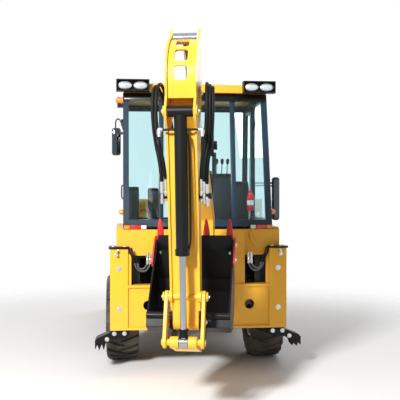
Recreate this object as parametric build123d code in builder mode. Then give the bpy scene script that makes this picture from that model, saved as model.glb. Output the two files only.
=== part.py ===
"""A backhoe loader, standing on its wheels with the hoe folded for travel.

Frame: +Y is the machine's front, +X its right, +Z up, ground at z = 0, millimetres.
The hoe is drawn in its own upright plane: u runs rearward from the kingpost's axis
and z up, and the plane stands at the slew angle that the hoe is parked at.
"""

import os
from math import atan2, cos, degrees, hypot, radians, sin, sqrt

from build123d import *

os.makedirs("parts", exist_ok=True)

# ---- driving dimensions -------------------------------------------------------------
wheelbase = 2150
rear_axle_y = -352
track = 1556
tyre_diameter = 920
tyre_width = 350
rim_diameter = 444
lug_height = 26
lug_reach = 56
lugs_per_side = 14

running_gap = 5  # between pieces that move past each other
seat_gap = 0.3  # between curved faces that seat on each other

rail_inner = 230
rail_outer = 300
rail_bottom = 675
rail_top = 855

kingpin_x = 560
hub_face_x = 655

rear_plate_to_axle = 700
kingpost_offset = 420
slew_at_rest = -12.5
dipper_lean = 9.5

column_inner = 724
column_outer = 903
column_depth = 160
column_wall = 14
column_bottom = 432
column_top = 1255
leg_stroke = 450

cab_half_width = 772
cab_length = 1620
cab_floor_z = 1175
belt_z = 1465
roof_z = 2885
cab_wall = 50
pillar = 60
rear_lean = 330
front_lean = 95
door_length = 490

fender_outer = 840
fender_inner = 600

hood_half_width = 330
hood_bottom = 905
hood_top = 1445
hood_front_top = 1345
hood_length = 1520
sheet = 12

arm_inner = 450
arm_outer = 560
arm_pivot_z = 1665
tower_to_axle = 635
loader_width = 1930

# ---- places that follow from them ---------------------------------------------------
axle_z = tyre_diameter / 2
front_axle_y = rear_axle_y + wheelbase
wheel_x = track / 2
rear_plate_y = rear_axle_y - rear_plate_to_axle
kingpost_y = rear_plate_y - kingpost_offset
cab_rear_y = rear_plate_y + 85
cab_front_y = cab_rear_y + cab_length
tower_y = front_axle_y - tower_to_axle
door_front_y = cab_front_y - pillar
door_rear_y = door_front_y - door_length

slew = radians(slew_at_rest)
rearward = (sin(slew), -cos(slew), 0)
leftward = (-cos(slew), -sin(slew), 0)
hoe = Plane(origin=(0, kingpost_y, 0), x_dir=rearward, z_dir=leftward)
side = Plane.YZ

# ---- pins of the hoe, (u, z) --------------------------------------------------------
boom_foot = (200, 655)
boom_ram_base = (110, 855)
boom_ram_eye = (115, 1415)
crowd_base = (100, 1595)
bucket_pin = (1275, 805)
link_pin = (1130, 585)
bucket_lip = (722, 1422)

# pins of the dipper, drawn upright
pivot_upright = (1125, 2575)
tail_upright = (955, 2996)
ram_upright = (1360, 2456)
lever_upright = (1305, 1020)


def leaned(u, z):
    """Where a point of the upright dipper stands once it leans about the bucket's pin."""
    lean = radians(dipper_lean)
    du, dz = u - bucket_pin[0], z - bucket_pin[1]
    return (
        bucket_pin[0] + du * cos(lean) + dz * sin(lean),
        bucket_pin[1] - du * sin(lean) + dz * cos(lean),
    )


dipper_pivot = leaned(*pivot_upright)
crowd_eye = leaned(*tail_upright)
bucket_ram_base = leaned(*ram_upright)
lever_pivot = leaned(*lever_upright)
lever_eye = leaned(1470, 708)

# ---- pins of the loader, (y, z) -----------------------------------------------------
arm_pivot = (tower_y, arm_pivot_z)
lift_base = (tower_y - 10, 905)
lift_eye = (tower_y + 840, 1243)
tilt_base = (tower_y + 740, 1490)
cross_tube = (tower_y + 1170, 1265)
loader_pin = (tower_y + 1535, 300)
tilt_eye = (tower_y + 1525, 560)
cutting_edge = (tower_y + 1985, 55)


# ---- small operations on the part that is open --------------------------------------
def spans(inner, outer, sides):
    """Start and length of a slab from inner to outer, on each side of a plane."""
    return [(inner if way > 0 else -outer, outer - inner) for way in sides]


def plate(plane, outline, inner, outer, radius=8, sides=(1, -1), mode=Mode.ADD):
    """A flat plate of a rounded outline, or one on each side; radius 0 keeps corners sharp."""
    for start, thickness in spans(inner, outer, sides):
        with BuildSketch(plane.offset(start)) as face:
            with BuildLine():
                if radius:
                    FilletPolyline(*outline, radius=radius, close=True)
                else:
                    Polyline(*outline, close=True)
            make_face()
        extrude(face.sketch, amount=thickness, mode=mode)


def block(plane, outline, half, mode=Mode.ADD, radius=8):
    """A rounded outline, extruded evenly to both sides of the plane."""
    plate(plane, outline, -half, half, radius, (1,), mode)


def bar(plane, centre, radius, inner, outer, sides=(1, -1), mode=Mode.ADD):
    """A round bar square to the plane, or one on each side of it."""
    for start, length in spans(inner, outer, sides):
        with BuildSketch(plane.offset(start)) as face:
            with Locations(centre):
                Circle(radius)
        extrude(face.sketch, amount=length, mode=mode)


def disc(plane, radius, length, mode=Mode.ADD):
    """A round bar that stands on a plane's origin."""
    with BuildSketch(plane) as face:
        Circle(radius)
    extrude(face.sketch, amount=length, mode=mode)


def through(plane, centre, radius, half, mode=Mode.ADD):
    """A round bar through the plane, as long on both sides."""
    bar(plane, centre, radius, -half, half, (1,), mode)


def brick(x0, x1, y0, y1, z0, z1, mode=Mode.ADD):
    """A box between corners."""
    with BuildSketch(Plane.XY.offset(z0)) as face:
        with Locations(((x0 + x1) / 2, (y0 + y1) / 2)):
            Rectangle(abs(x1 - x0), abs(y1 - y0))
    extrude(face.sketch, amount=z1 - z0, mode=mode)


def mirrored_brick(x0, x1, y0, y1, z0, z1, mode=Mode.ADD):
    """The same box on the right and on the left."""
    for way in (1, -1):
        brick(way * x0, way * x1, y0, y1, z0, z1, mode)


def along(plane, base, tip, offset):
    """A plane at base, offset to the side, with its normal towards tip."""
    start = plane.from_local_coords(Vector(*base, offset))
    end = plane.from_local_coords(Vector(*tip, offset))
    return Plane(origin=start, x_dir=plane.z_dir, z_dir=end - start)


def save(piece, name):
    """Labels a finished piece and writes it."""
    piece.part.label = name
    export_step(piece.part, f"parts/{name}.step")


# ---- hydraulic rams: a barrel on its base pin, and a rod that slides in it ----------
eye_margin = 25
gland_length = 45


def ram_barrel(plane, base, tip, offsets, radius, rod_radius, closed, eye_half, eye=45):
    """Barrel with its base eye, bored for the rod; closed is its shortest pin length."""
    for offset in offsets:
        axis = along(plane, base, tip, offset)
        end = closed - eye - 20
        disc(axis.offset(eye * 0.6), radius, end - eye * 0.6)
        disc(axis.offset(end - gland_length), radius + 7, gland_length)
        bar(plane, base, eye, offset - eye_half, offset + eye_half, (1,))
        disc(axis.offset(eye + eye_margin), rod_radius + seat_gap, end, Mode.SUBTRACT)


def ram_rod(plane, base, tip, offsets, rod_radius, closed, eye_half, eye=45):
    """Rod with its eye and the eye's own pin, drawn out to where it stands at rest."""
    reach = hypot(tip[0] - base[0], tip[1] - base[1])
    for offset in offsets:
        axis = along(plane, base, tip, offset)
        length = closed - eye - eye_margin - 10
        disc(axis.offset(reach - length), rod_radius, length - eye * 0.6)
        bar(plane, tip, eye, offset - eye_half, offset + eye_half, (1,))


# ---- wheels -------------------------------------------------------------------------
bead_half = 132
flange_half = 146
rim_radius = rim_diameter / 2
tread_radius = axle_z - lug_height
disc_out = 45  # the disc's inner face, outboard of the rim's middle

wheels = [  # name, side, y
    ("rear_left", -1, rear_axle_y),
    ("rear_right", 1, rear_axle_y),
    ("front_left", -1, front_axle_y),
    ("front_right", 1, front_axle_y),
]

spin = Axis.X
across = Plane.XY  # x runs outboard, y out from the axle

with BuildPart() as lug_pair:
    for row in (1, -1):
        half = tyre_width / 2
        root = tread_radius - 44
        with BuildSketch(Plane.XY.offset(root)):
            with BuildLine():
                Polyline(
                    (-14 * row, -lug_reach), (40 * row, 12 - lug_reach), ((half - 2) * row, 12),
                    ((half - 2) * row, lug_reach), (20 * row, -6), (-14 * row, -18), close=True,
                )
            make_face()
        lug = extrude(amount=sqrt(axle_z**2 - lug_reach**2) - root, mode=Mode.PRIVATE)
        add(lug.rotate(spin, 0 if row > 0 else 180 / lugs_per_side))

with BuildPart() as tyre_pattern:
    with BuildSketch(across):
        with BuildLine():
            bead = rim_radius + seat_gap
            profile = [
                (half - 42, tread_radius - 2), (half - 10, tread_radius - 22),
                (half, tread_radius - 78), (half - 3, tread_radius - 130),
                (bead_half, bead + 20), (bead_half, bead),
            ]
            Polyline(*profile, *[(-x, r) for x, r in reversed(profile)], close=True)
        make_face()
    revolve(axis=spin)
    # turned so that a lug's corner stands straight down, on the ground
    first = degrees(atan2(lug_reach, sqrt(axle_z**2 - lug_reach**2)))
    for turn in range(lugs_per_side):
        add(lug_pair.part.rotate(spin, first + turn * 360 / lugs_per_side))

with BuildPart() as rim_pattern:
    with BuildSketch(across):
        with BuildLine():
            Polyline(
                (-flange_half, rim_radius - 10), (-flange_half, rim_radius + 17),
                (-bead_half - seat_gap, rim_radius + 17), (-bead_half - seat_gap, rim_radius),
                (bead_half + seat_gap, rim_radius), (bead_half + seat_gap, rim_radius + 17),
                (flange_half, rim_radius + 17), (flange_half, rim_radius - 10),
                (disc_out + 40, rim_radius - 12), (disc_out + 12, rim_radius - 40),
                (disc_out + 12, 96), (disc_out + 52, 80), (disc_out + 52, 0),
                (hub_face_x - wheel_x, 0), (hub_face_x - wheel_x, 112),
                (disc_out, 112), (disc_out, rim_radius - 40), (disc_out + 20, rim_radius - 12),
                close=True,
            )
        make_face()
    revolve(axis=spin)
    with BuildSketch(Plane.YZ.offset(disc_out - 5)):
        with PolarLocations(150, 6):
            Circle(18)
    extrude(amount=22, mode=Mode.SUBTRACT)

for wheel, way, y in wheels:
    for name, pattern in (("tyre", tyre_pattern), ("rim", rim_pattern)):
        with BuildPart() as fitted:
            with Locations((way * wheel_x, y, axle_z)):
                add(pattern.part if way > 0 else pattern.part.mirror(Plane.YZ))
        save(fitted, f"{name}_{wheel}")

# ---- axles --------------------------------------------------------------------------
with BuildPart() as rear_axle:
    with BuildSketch(Plane(origin=(0, rear_axle_y, axle_z), x_dir=(1, 0, 0), z_dir=(0, -1, 0))):
        with BuildLine():
            Polyline(
                (-hub_face_x, 0), (-hub_face_x, 105), (-hub_face_x + 35, 105),
                (-hub_face_x + 60, 72), (-170, 78), (-95, 135), (95, 135), (170, 78),
                (hub_face_x - 60, 72), (hub_face_x - 35, 105), (hub_face_x, 105),
                (hub_face_x, 0), close=True,
            )
        make_face()
    revolve(axis=Axis((0, rear_axle_y, axle_z), (1, 0, 0)))
    mirrored_brick(rail_inner, rail_outer, rear_axle_y - 70, rear_axle_y + 70, axle_z, rail_bottom)
save(rear_axle, "rear_axle")

yoke_height = 28
knuckle_half = 80
kingpin_radius = 20

with BuildPart() as front_axle:
    beam_half = kingpin_x - 60
    brick(-beam_half, beam_half, front_axle_y - 55, front_axle_y + 55, axle_z - 60, axle_z + 40)
    mirrored_brick(
        rail_inner, rail_outer, front_axle_y - 90, front_axle_y + 90, axle_z, rail_bottom
    )
    brick(-rail_inner, rail_inner, front_axle_y - 40, front_axle_y + 40, axle_z, rail_bottom - 10)
    for way in (1, -1):
        for level in (knuckle_half + running_gap, -knuckle_half - running_gap - yoke_height):
            with BuildSketch(Plane.XY.offset(axle_z + level)):
                with Locations((way * kingpin_x, front_axle_y)):
                    Circle(42)
                with Locations((way * (kingpin_x - 45), front_axle_y)):
                    Rectangle(90, 84)
            extrude(amount=yoke_height)
        height = 2 * (knuckle_half + running_gap + yoke_height)
        brick(
            way * (beam_half - 60), way * (beam_half - 10), front_axle_y - 42, front_axle_y + 42,
            axle_z - height / 2, axle_z + height / 2,
        )
        with BuildSketch(Plane.XY.offset(axle_z - height / 2)):
            with Locations((way * kingpin_x, front_axle_y)):
                Circle(kingpin_radius)
        extrude(amount=height)
save(front_axle, "front_axle")

for hand, way in (("left", -1), ("right", 1)):
    with BuildPart() as knuckle:
        with BuildSketch(Plane.XY.offset(axle_z - knuckle_half)):
            with Locations((way * kingpin_x, front_axle_y)):
                Circle(40)
        extrude(amount=2 * knuckle_half)
        with BuildSketch(Plane(origin=(way * kingpin_x, front_axle_y, axle_z), z_dir=(way, 0, 0))):
            Circle(62)
        extrude(amount=hub_face_x - kingpin_x - 30)
        with BuildSketch(
            Plane(origin=(way * (hub_face_x - 34), front_axle_y, axle_z), z_dir=(way, 0, 0))
        ):
            Circle(100)
        extrude(amount=34)
        with BuildSketch(Plane.XY.offset(axle_z - knuckle_half)):
            with BuildLine():
                FilletPolyline(
                    (way * (kingpin_x - 14), front_axle_y),
                    (way * (kingpin_x - 24), front_axle_y - 165),
                    (way * (kingpin_x + 22), front_axle_y - 165),
                    (way * (kingpin_x + 36), front_axle_y),
                    radius=10, close=True,
                )
            make_face()
        extrude(amount=26)
        with BuildSketch(Plane.XY.offset(axle_z - knuckle_half - 1)):
            with Locations((way * kingpin_x, front_axle_y)):
                Circle(kingpin_radius + seat_gap)
        extrude(amount=2 * knuckle_half + 2, mode=Mode.SUBTRACT)
    save(knuckle, f"knuckle_{hand}")

# ---- main frame: rails, towers, bumper ----------------------------------------------
frame_front_y = front_axle_y + 450
tower_half = 90
tower_skin = 15

with BuildPart() as main_frame:
    mirrored_brick(rail_inner, rail_outer, rear_plate_y + 38, frame_front_y, rail_bottom, rail_top)
    for cross_y in (rear_axle_y - 330, rear_axle_y + 420, front_axle_y - 330, frame_front_y - 60):
        brick(-rail_inner, rail_inner, cross_y, cross_y + 60, rail_bottom + 20, rail_top - 20)
    brick(
        -hood_half_width, hood_half_width, frame_front_y, frame_front_y + 50,
        rail_bottom - 90, rail_top + 20,
    )
    with BuildSketch(Plane.XY.offset(rail_bottom - 70)):
        with Locations((0, frame_front_y + 80)):
            Rectangle(120, 100)
    extrude(amount=20)
    with BuildSketch(Plane.XY.offset(rail_bottom - 10)):
        with Locations((0, frame_front_y + 80)):
            Rectangle(120, 100)
    extrude(amount=20)
    with BuildSketch(Plane.XY.offset(rail_bottom - 100)):
        with Locations((0, frame_front_y + 95)):
            Circle(18)
    extrude(amount=120, mode=Mode.SUBTRACT)
    for rest_y in (cab_front_y + 300, front_axle_y + 200):
        mirrored_brick(rail_outer - 10, hood_half_width, rest_y, rest_y + 50, rail_top, hood_bottom)
    # loader towers: a pair of plates each side, that the arm stands between
    tower_outline = [
        (tower_y - 95, rail_bottom), (tower_y - 70, arm_pivot_z), (tower_y - 40, arm_pivot_z + 80),
        (tower_y + 40, arm_pivot_z + 80), (tower_y + 70, arm_pivot_z), (tower_y + 85, rail_bottom),
    ]
    plate(side, tower_outline, arm_inner - running_gap - tower_skin, arm_inner - running_gap, 25)
    plate(side, tower_outline, arm_outer + running_gap, arm_outer + running_gap + tower_skin, 25)
    mirrored_brick(
        rail_outer, arm_outer + running_gap + tower_skin, tower_y - 85, tower_y + 75,
        rail_bottom, rail_top,
    )
    mirrored_brick(
        arm_inner - running_gap - tower_skin, arm_outer + running_gap + tower_skin,
        tower_y - 88, tower_y - 70, rail_top, arm_pivot_z - 140,
    )
    bar(side, arm_pivot, 28, arm_inner - 20, arm_outer + 20)
    bar(side, lift_base, 24, arm_inner - 20, arm_outer + 20)
save(main_frame, "main_frame")

# ---- engine, hood, grille, exhaust --------------------------------------------------
hood_rear_y = cab_front_y + 10
hood_front_y = hood_rear_y + hood_length

with BuildPart() as engine_block:
    brick(-215, 215, hood_rear_y + 280, hood_rear_y + 1050, rail_top - 10, 1295)
    brick(-150, 150, hood_rear_y + 380, hood_rear_y + 700, rail_bottom + 50, rail_top - 10)
    mirrored_brick(
        140, rail_inner, hood_rear_y + 420, hood_rear_y + 520, rail_bottom + 70, rail_top - 40
    )
    brick(
        -rail_inner, rail_inner, hood_rear_y + 1200, hood_rear_y + 1300, rail_bottom + 60, 1275
    )
save(engine_block, "engine_block")

hood_outline = [
    (hood_rear_y, hood_bottom), (hood_rear_y, hood_top), (hood_rear_y + 900, hood_top - 15),
    (hood_front_y - 30, hood_front_top), (hood_front_y, hood_front_top - 40),
    (hood_front_y, hood_bottom),
]
hood_inside = [
    (hood_rear_y - 60, hood_bottom - 60), (hood_rear_y - 60, hood_top - sheet),
    (hood_rear_y + 900, hood_top - 15 - sheet),
    (hood_front_y - 30 - sheet, hood_front_top - sheet),
    (hood_front_y - sheet, hood_front_top - 40 - sheet), (hood_front_y - sheet, hood_bottom - 60),
]
hood_hinge = (hood_rear_y + 5, hood_top + 14)
grille_half = 250
grille_bottom = hood_bottom + 40
grille_top = hood_front_top - 80

with BuildPart() as hood:
    block(side, hood_outline, hood_half_width, radius=10)
    block(side, hood_inside, hood_half_width - sheet, Mode.SUBTRACT, radius=4)
    brick(
        -grille_half, grille_half, hood_front_y - 60, hood_front_y + 10, grille_bottom, grille_top,
        Mode.SUBTRACT,
    )
    for way in (1, -1):
        for slot in range(6):
            y0 = hood_rear_y + 900 + slot * 70
            brick(
                way * (hood_half_width - 30), way * (hood_half_width + 5), y0, y0 + 32,
                1065, 1245, Mode.SUBTRACT,
            )
    for way in (1, -1):
        bar(side, hood_hinge, 12, 190, 230, (way,))
        brick(
            way * 190, way * 230, hood_hinge[0], hood_hinge[0] + 30, hood_hinge[1] - 22,
            hood_hinge[1] - 6,
        )
save(hood, "hood")

grille_bars = 9
with BuildPart() as grille:
    y0 = hood_front_y - sheet
    brick(-grille_half, grille_half, y0, y0 + 20, grille_bottom, grille_top)
    bar_pitch = (grille_top - grille_bottom - 30) / grille_bars
    for step in range(grille_bars):
        z0 = grille_bottom + 18 + step * bar_pitch
        for way in (1, -1):
            brick(
                way * 15, way * (grille_half - 18), y0 - 5, y0 + 25, z0, z0 + bar_pitch * 0.55,
                Mode.SUBTRACT,
            )
save(grille, "grille")

with BuildPart() as exhaust:
    with BuildSketch(Plane.XY.offset(rail_top)):
        with Locations((390, hood_rear_y + 190)):
            Circle(30)
    extrude(amount=500)
    with BuildSketch(Plane.XY.offset(rail_top + 500)):
        with Locations((390, hood_rear_y + 190)):
            Circle(55)
    extrude(amount=560)
    with BuildSketch(Plane.XY.offset(rail_top + 1060)):
        with Locations((390, hood_rear_y + 190)):
            Circle(28)
    extrude(amount=420)
    brick(
        rail_outer, 410, hood_rear_y + 150, hood_rear_y + 230, rail_top - 30, rail_top
    )
save(exhaust, "exhaust")

# ---- tanks and steps between the wheels ---------------------------------------------
tank_table = [  # side, inner x
    (-1, 345),
    (1, 450),
]
with BuildPart() as tanks:
    for way, x0 in tank_table:
        brick(way * x0, way * 720, door_front_y + 5, tower_y - 130, rail_bottom - 130, 1045)
        for y0 in (door_front_y + 60, tower_y - 240):
            brick(way * rail_outer, way * x0, y0, y0 + 50, rail_bottom + 30, rail_bottom + 90)
save(tanks, "tanks")

step_heights = (500, 820)
with BuildPart() as steps:
    for way in (1, -1):
        for y0 in (door_rear_y + 20, door_front_y - 45):
            brick(
                way * rail_outer, way * 800, y0, y0 + 12, step_heights[0] - 60, cab_floor_z - 20
            )
        for level in step_heights:
            brick(
                way * 600, way * 800, door_rear_y + 20, door_front_y - 33, level, level + 25
            )
save(steps, "steps")

# ---- rear frame with the stabiliser columns and the kingpost's brackets -------------
plate_front_y = rear_plate_y + 25
bracket_levels = [(510, 535), (615, 640), (1080, 1105), (1185, 1210)]
post_lugs = [(540, 610), (1110, 1180)]
kingpost_pin = 25
bracket_nose = 48
lashing_x = 520
lashing_z = 677
lashing_radius = 50
leg_x = (column_inner + column_outer) / 2
leg_y = rear_plate_y + column_depth / 2
leg_half_x = (column_outer - column_inner) / 2 - column_wall - running_gap
leg_half_y = column_depth / 2 - column_wall - running_gap

with BuildPart() as rear_frame:
    # lower channel: a web between two flanges
    brick(
        -column_inner, column_inner, rear_plate_y + 20, rear_plate_y + 38, column_bottom, 885
    )
    for level in (column_bottom, 860):
        brick(
            -column_inner, column_inner, rear_plate_y, rear_plate_y + 120, level, level + 25
        )
    # middle plate up to the belt, and the upper panel across
    brick(-472, 472, rear_plate_y + 20, rear_plate_y + 38, 885, belt_z - 20)
    mirrored_brick(690, column_inner, rear_plate_y + 20, rear_plate_y + 38, 885, 1200)
    casting = [
        (-465, belt_z - 20), (465, belt_z - 20), (465, 1365), (345, 1170), (305, 885),
        (-305, 885), (-345, 1170), (-465, 1365),
    ]
    with BuildSketch(Plane.XZ.offset(-rear_plate_y - 20)):
        with BuildLine():
            Polyline(*casting, close=True)
        make_face()
    extrude(amount=28)
    brick(
        -fender_outer, fender_outer, rear_plate_y + 60, rear_plate_y + 78, 1180, belt_z - 20
    )
    brick(-472, 472, rear_plate_y + 38, rear_plate_y + 60, 1180, 1215)
    mirrored_brick(
        690, column_inner + column_wall, rear_plate_y + 38, rear_plate_y + 78, 1180, 1215
    )
    # columns
    for way in (1, -1):
        brick(
            way * column_inner, way * column_outer, rear_plate_y, rear_plate_y + column_depth,
            column_bottom, column_top,
        )
        brick(
            way * (column_inner + column_wall), way * (column_outer - column_wall),
            rear_plate_y + column_wall, rear_plate_y + column_depth - column_wall,
            column_bottom + 40, column_top - 20, Mode.SUBTRACT,
        )
        brick(
            way * leg_x - leg_half_x, way * leg_x + leg_half_x, leg_y - leg_half_y,
            leg_y + leg_half_y, column_bottom - 5, column_bottom + 45, Mode.SUBTRACT,
        )
        brick(
            way * (column_inner - 12), way * (column_outer + 12), rear_plate_y - 12,
            rear_plate_y + column_depth + 12, column_top, column_top + 18,
        )
        with BuildSketch(Plane.XZ.offset(-rear_plate_y - 60)):
            with Locations((way * lashing_x, lashing_z)):
                Circle(lashing_radius)
        extrude(amount=80, mode=Mode.SUBTRACT)
    # saddle that carries the frame on the rails
    mirrored_brick(
        rail_outer, rail_outer + 14, rear_plate_y + 38, rear_plate_y + 300, rail_bottom, rail_top
    )
save(rear_frame, "rear_frame")

# ---- kingpost brackets, welded to the frame's rear ----------------------------------
neck_y = kingpost_y + 90


def bracket_root(level):
    """The frame's rear face: the raised casting high up, the channel's web lower down."""
    return rear_plate_y - 8 if level > 885 else rear_plate_y + 20


with BuildPart() as swing_brackets:
    for low, high in bracket_levels:
        with BuildSketch(Plane.XY.offset(low)):
            with BuildLine():
                root_y = bracket_root(low)
                right = Polyline(
                    (bracket_nose, kingpost_y), (bracket_nose, neck_y), (250, root_y),
                    (-250, root_y), (-bracket_nose, neck_y), (-bracket_nose, kingpost_y),
                )
                ThreePointArc(right @ 1, (0, kingpost_y - bracket_nose), right @ 0)
            make_face()
        extrude(amount=high - low)
    for low, high in ((535, 615), (1105, 1185)):
        root_y = bracket_root(low)
        for way in (1, -1):
            with BuildSketch(Plane.XY.offset(low)):
                with BuildLine():
                    Polyline(
                        (way * bracket_nose, neck_y + 20), (way * 250, root_y),
                        (way * 225, root_y), (way * (bracket_nose - 16), neck_y + 40), close=True,
                    )
                make_face()
            extrude(amount=high - low)
    for low, high in ((510, 640), (1080, 1210)):
        with BuildSketch(Plane.XY.offset(low)):
            with Locations((0, kingpost_y)):
                Circle(kingpost_pin)
        extrude(amount=high - low)
save(swing_brackets, "swing_brackets")

# ---- stabiliser legs ----------------------------------------------------------------
for hand, way in (("left", -1), ("right", 1)):
    with BuildPart() as leg:
        brick(
            way * leg_x - leg_half_x, way * leg_x + leg_half_x, leg_y - leg_half_y,
            leg_y + leg_half_y, 385, column_top - 60,
        )
        foot_outline = [
            (way * (column_inner - 10), 385), (way * (column_inner - 10), 415),
            (way * (column_outer - 5), 415), (way * 1036, 356), (way * 1056, 330),
            (way * 1054, 238), (way * 1030, 292), (way * 1012, 230), (way * 988, 296),
            (way * 966, 236), (way * 946, 306), (way * 890, 338), (way * (column_inner + 20), 350),
        ]
        with BuildSketch(Plane.XZ.offset(-leg_y - 75)):
            with BuildLine():
                FilletPolyline(*foot_outline, radius=3, close=True)
            make_face()
        extrude(amount=150)
    save(leg, f"leg_{hand}")

# ---- fenders and cab floor ----------------------------------------------------------
arch_radius = axle_z + 80
fender_rear_y = rear_plate_y + column_depth + 20
fender_front_y = door_rear_y - 25
fender_outline = [
    (cab_rear_y + 5, belt_z), (cab_rear_y + 5, column_top + 30),
    (fender_rear_y, column_top + 30), (fender_rear_y, axle_z + 215),
    (rear_axle_y, axle_z), (fender_front_y, axle_z + 215), (fender_front_y, belt_z),
]
fender_hollow = [
    (cab_rear_y + 5 + sheet, belt_z - sheet), (cab_rear_y + 5 + sheet, column_top + 30 + sheet),
    (fender_rear_y + sheet, column_top + 30 + sheet), (fender_rear_y + sheet, axle_z),
    (fender_front_y - sheet, axle_z), (fender_front_y - sheet, belt_z - sheet),
]
with BuildPart() as rear_fenders:
    plate(side, fender_outline, fender_inner, fender_outer, 4)
    plate(side, fender_hollow, fender_inner + sheet, fender_outer - sheet, 4, mode=Mode.SUBTRACT)
    bar(
        side, (rear_axle_y, axle_z), arch_radius, fender_inner - 5, fender_outer + 5,
        mode=Mode.SUBTRACT,
    )
save(rear_fenders, "rear_fenders")

with BuildPart() as cab_floor:
    brick(
        -fender_inner + 0.5, fender_inner - 0.5, cab_rear_y + 5, cab_front_y,
        cab_floor_z - 20, cab_floor_z,
    )
    mirrored_brick(
        fender_inner - 1, cab_half_width, door_rear_y, cab_front_y, cab_floor_z - 20, cab_floor_z
    )
    mirrored_brick(
        rail_inner, rail_outer, rear_axle_y - 200, rear_axle_y - 100, rail_top, cab_floor_z - 20
    )
    mirrored_brick(
        rail_inner, rail_outer, cab_front_y - 160, cab_front_y - 60, rail_top, cab_floor_z - 20
    )
save(cab_floor, "cab_floor")

# ---- cab ----------------------------------------------------------------------------
cab_outline = [
    (cab_rear_y, belt_z), (cab_rear_y + rear_lean, roof_z), (cab_front_y - front_lean, roof_z),
    (cab_front_y, hood_top + 60), (cab_front_y, cab_floor_z), (door_rear_y - 15, cab_floor_z),
    (door_rear_y - 15, belt_z),
]


def rear_face_y(z):
    """Where the leaning rear face stands at a height."""
    return cab_rear_y + rear_lean * (z - belt_z) / (roof_z - belt_z)


def front_face_y(z):
    """Where the leaning windscreen stands at a height."""
    return cab_front_y - front_lean * max(0, z - hood_top - 60) / (roof_z - hood_top - 60)


window_low = belt_z + 80
window_high = roof_z - 70
quarter_window = [
    (rear_face_y(window_low) + pillar, window_low), (rear_face_y(window_high) + pillar, window_high),
    (door_rear_y - pillar - 20, window_high), (door_rear_y - pillar - 20, window_low),
]
door_low = cab_floor_z + 10


def door_shape(inset):
    """The door's outline, drawn in from its opening by an inset."""
    return [
        (door_rear_y + inset, door_low + inset), (door_rear_y + inset, window_high - inset),
        (door_front_y - front_lean - inset, window_high - inset),
        (door_front_y - inset, hood_top + 60), (door_front_y - inset, door_low + inset),
    ]



hinge_x = cab_half_width + 12
hinge_y = door_rear_y - 2
hinge_radius = 11
hinge_tall = 40
hinge_levels = (cab_floor_z + 120, window_high - 220)

with BuildPart() as cab_frame:
    block(side, cab_outline, cab_half_width, radius=8)
    inner_outline = [
        (cab_rear_y + cab_wall, belt_z - 5), (cab_rear_y + rear_lean + cab_wall, roof_z + 5),
        (cab_front_y - front_lean - cab_wall, roof_z + 5), (cab_front_y - cab_wall, hood_top + 60),
        (cab_front_y - cab_wall, cab_floor_z - 5), (door_rear_y - 15, cab_floor_z - 5),
        (door_rear_y - 15, belt_z - 5),
    ]
    block(side, inner_outline, cab_half_width - cab_wall, Mode.SUBTRACT, radius=4)
    block(side, quarter_window, cab_half_width + 5, Mode.SUBTRACT, radius=40)
    block(side, door_shape(0), cab_half_width + 5, Mode.SUBTRACT, radius=30)
    rear_cut = [
        (rear_face_y(window_low) - 60, window_low), (rear_face_y(window_high) - 60, window_high),
        (rear_face_y(window_high) + 90, window_high), (rear_face_y(window_low) + 90, window_low),
    ]
    block(side, rear_cut, cab_half_width - pillar, Mode.SUBTRACT, radius=3)
    screen_low = hood_top + 70
    front_cut = [
        (front_face_y(screen_low) + 60, screen_low), (front_face_y(window_high) + 60, window_high),
        (front_face_y(window_high) - 90, window_high), (front_face_y(screen_low) - 90, screen_low),
    ]
    block(side, front_cut, cab_half_width - pillar, Mode.SUBTRACT, radius=3)
    for way in (1, -1):
        bar(side, hood_hinge, 12, 150, 190, (way,))
        brick(
            way * 150, way * 190, cab_front_y - 5, hood_hinge[0], hood_hinge[1] - 8,
            hood_hinge[1] + 8,
        )
        for level in hinge_levels:
            disc(Plane(origin=(way * hinge_x, hinge_y, level)), hinge_radius, hinge_tall)
            brick(
                way * (cab_half_width - 2), way * hinge_x, hinge_y - 12, hinge_y,
                level, level + hinge_tall,
            )
save(cab_frame, "cab_frame")

glass = 6
with BuildPart() as cab_windows:
    rear_glass = [
        (rear_face_y(window_low) + 15, window_low), (rear_face_y(window_high) + 15, window_high),
        (rear_face_y(window_high) + 15 + glass, window_high),
        (rear_face_y(window_low) + 15 + glass, window_low),
    ]
    block(side, rear_glass, cab_half_width - pillar, radius=1)
    front_glass = [
        (front_face_y(screen_low) - 15, screen_low), (front_face_y(window_high) - 15, window_high),
        (front_face_y(window_high) - 15 - glass, window_high),
        (front_face_y(screen_low) - 15 - glass, screen_low),
    ]
    block(side, front_glass, cab_half_width - pillar, radius=1)
    plate(side, quarter_window, cab_half_width - 20 - glass, cab_half_width - 20, 40)
save(cab_windows, "cab_windows")

with BuildPart() as cab_roof:
    roof_outline = [
        (cab_rear_y + rear_lean - 70, roof_z), (cab_rear_y + rear_lean - 70, roof_z + 85),
        (cab_rear_y + rear_lean + 60, roof_z + 110), (cab_front_y - front_lean - 60, roof_z + 110),
        (cab_front_y - front_lean + 90, roof_z + 60), (cab_front_y - front_lean + 90, roof_z),
    ]
    block(side, roof_outline, cab_half_width - 10, radius=10)
save(cab_roof, "cab_roof")

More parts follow.
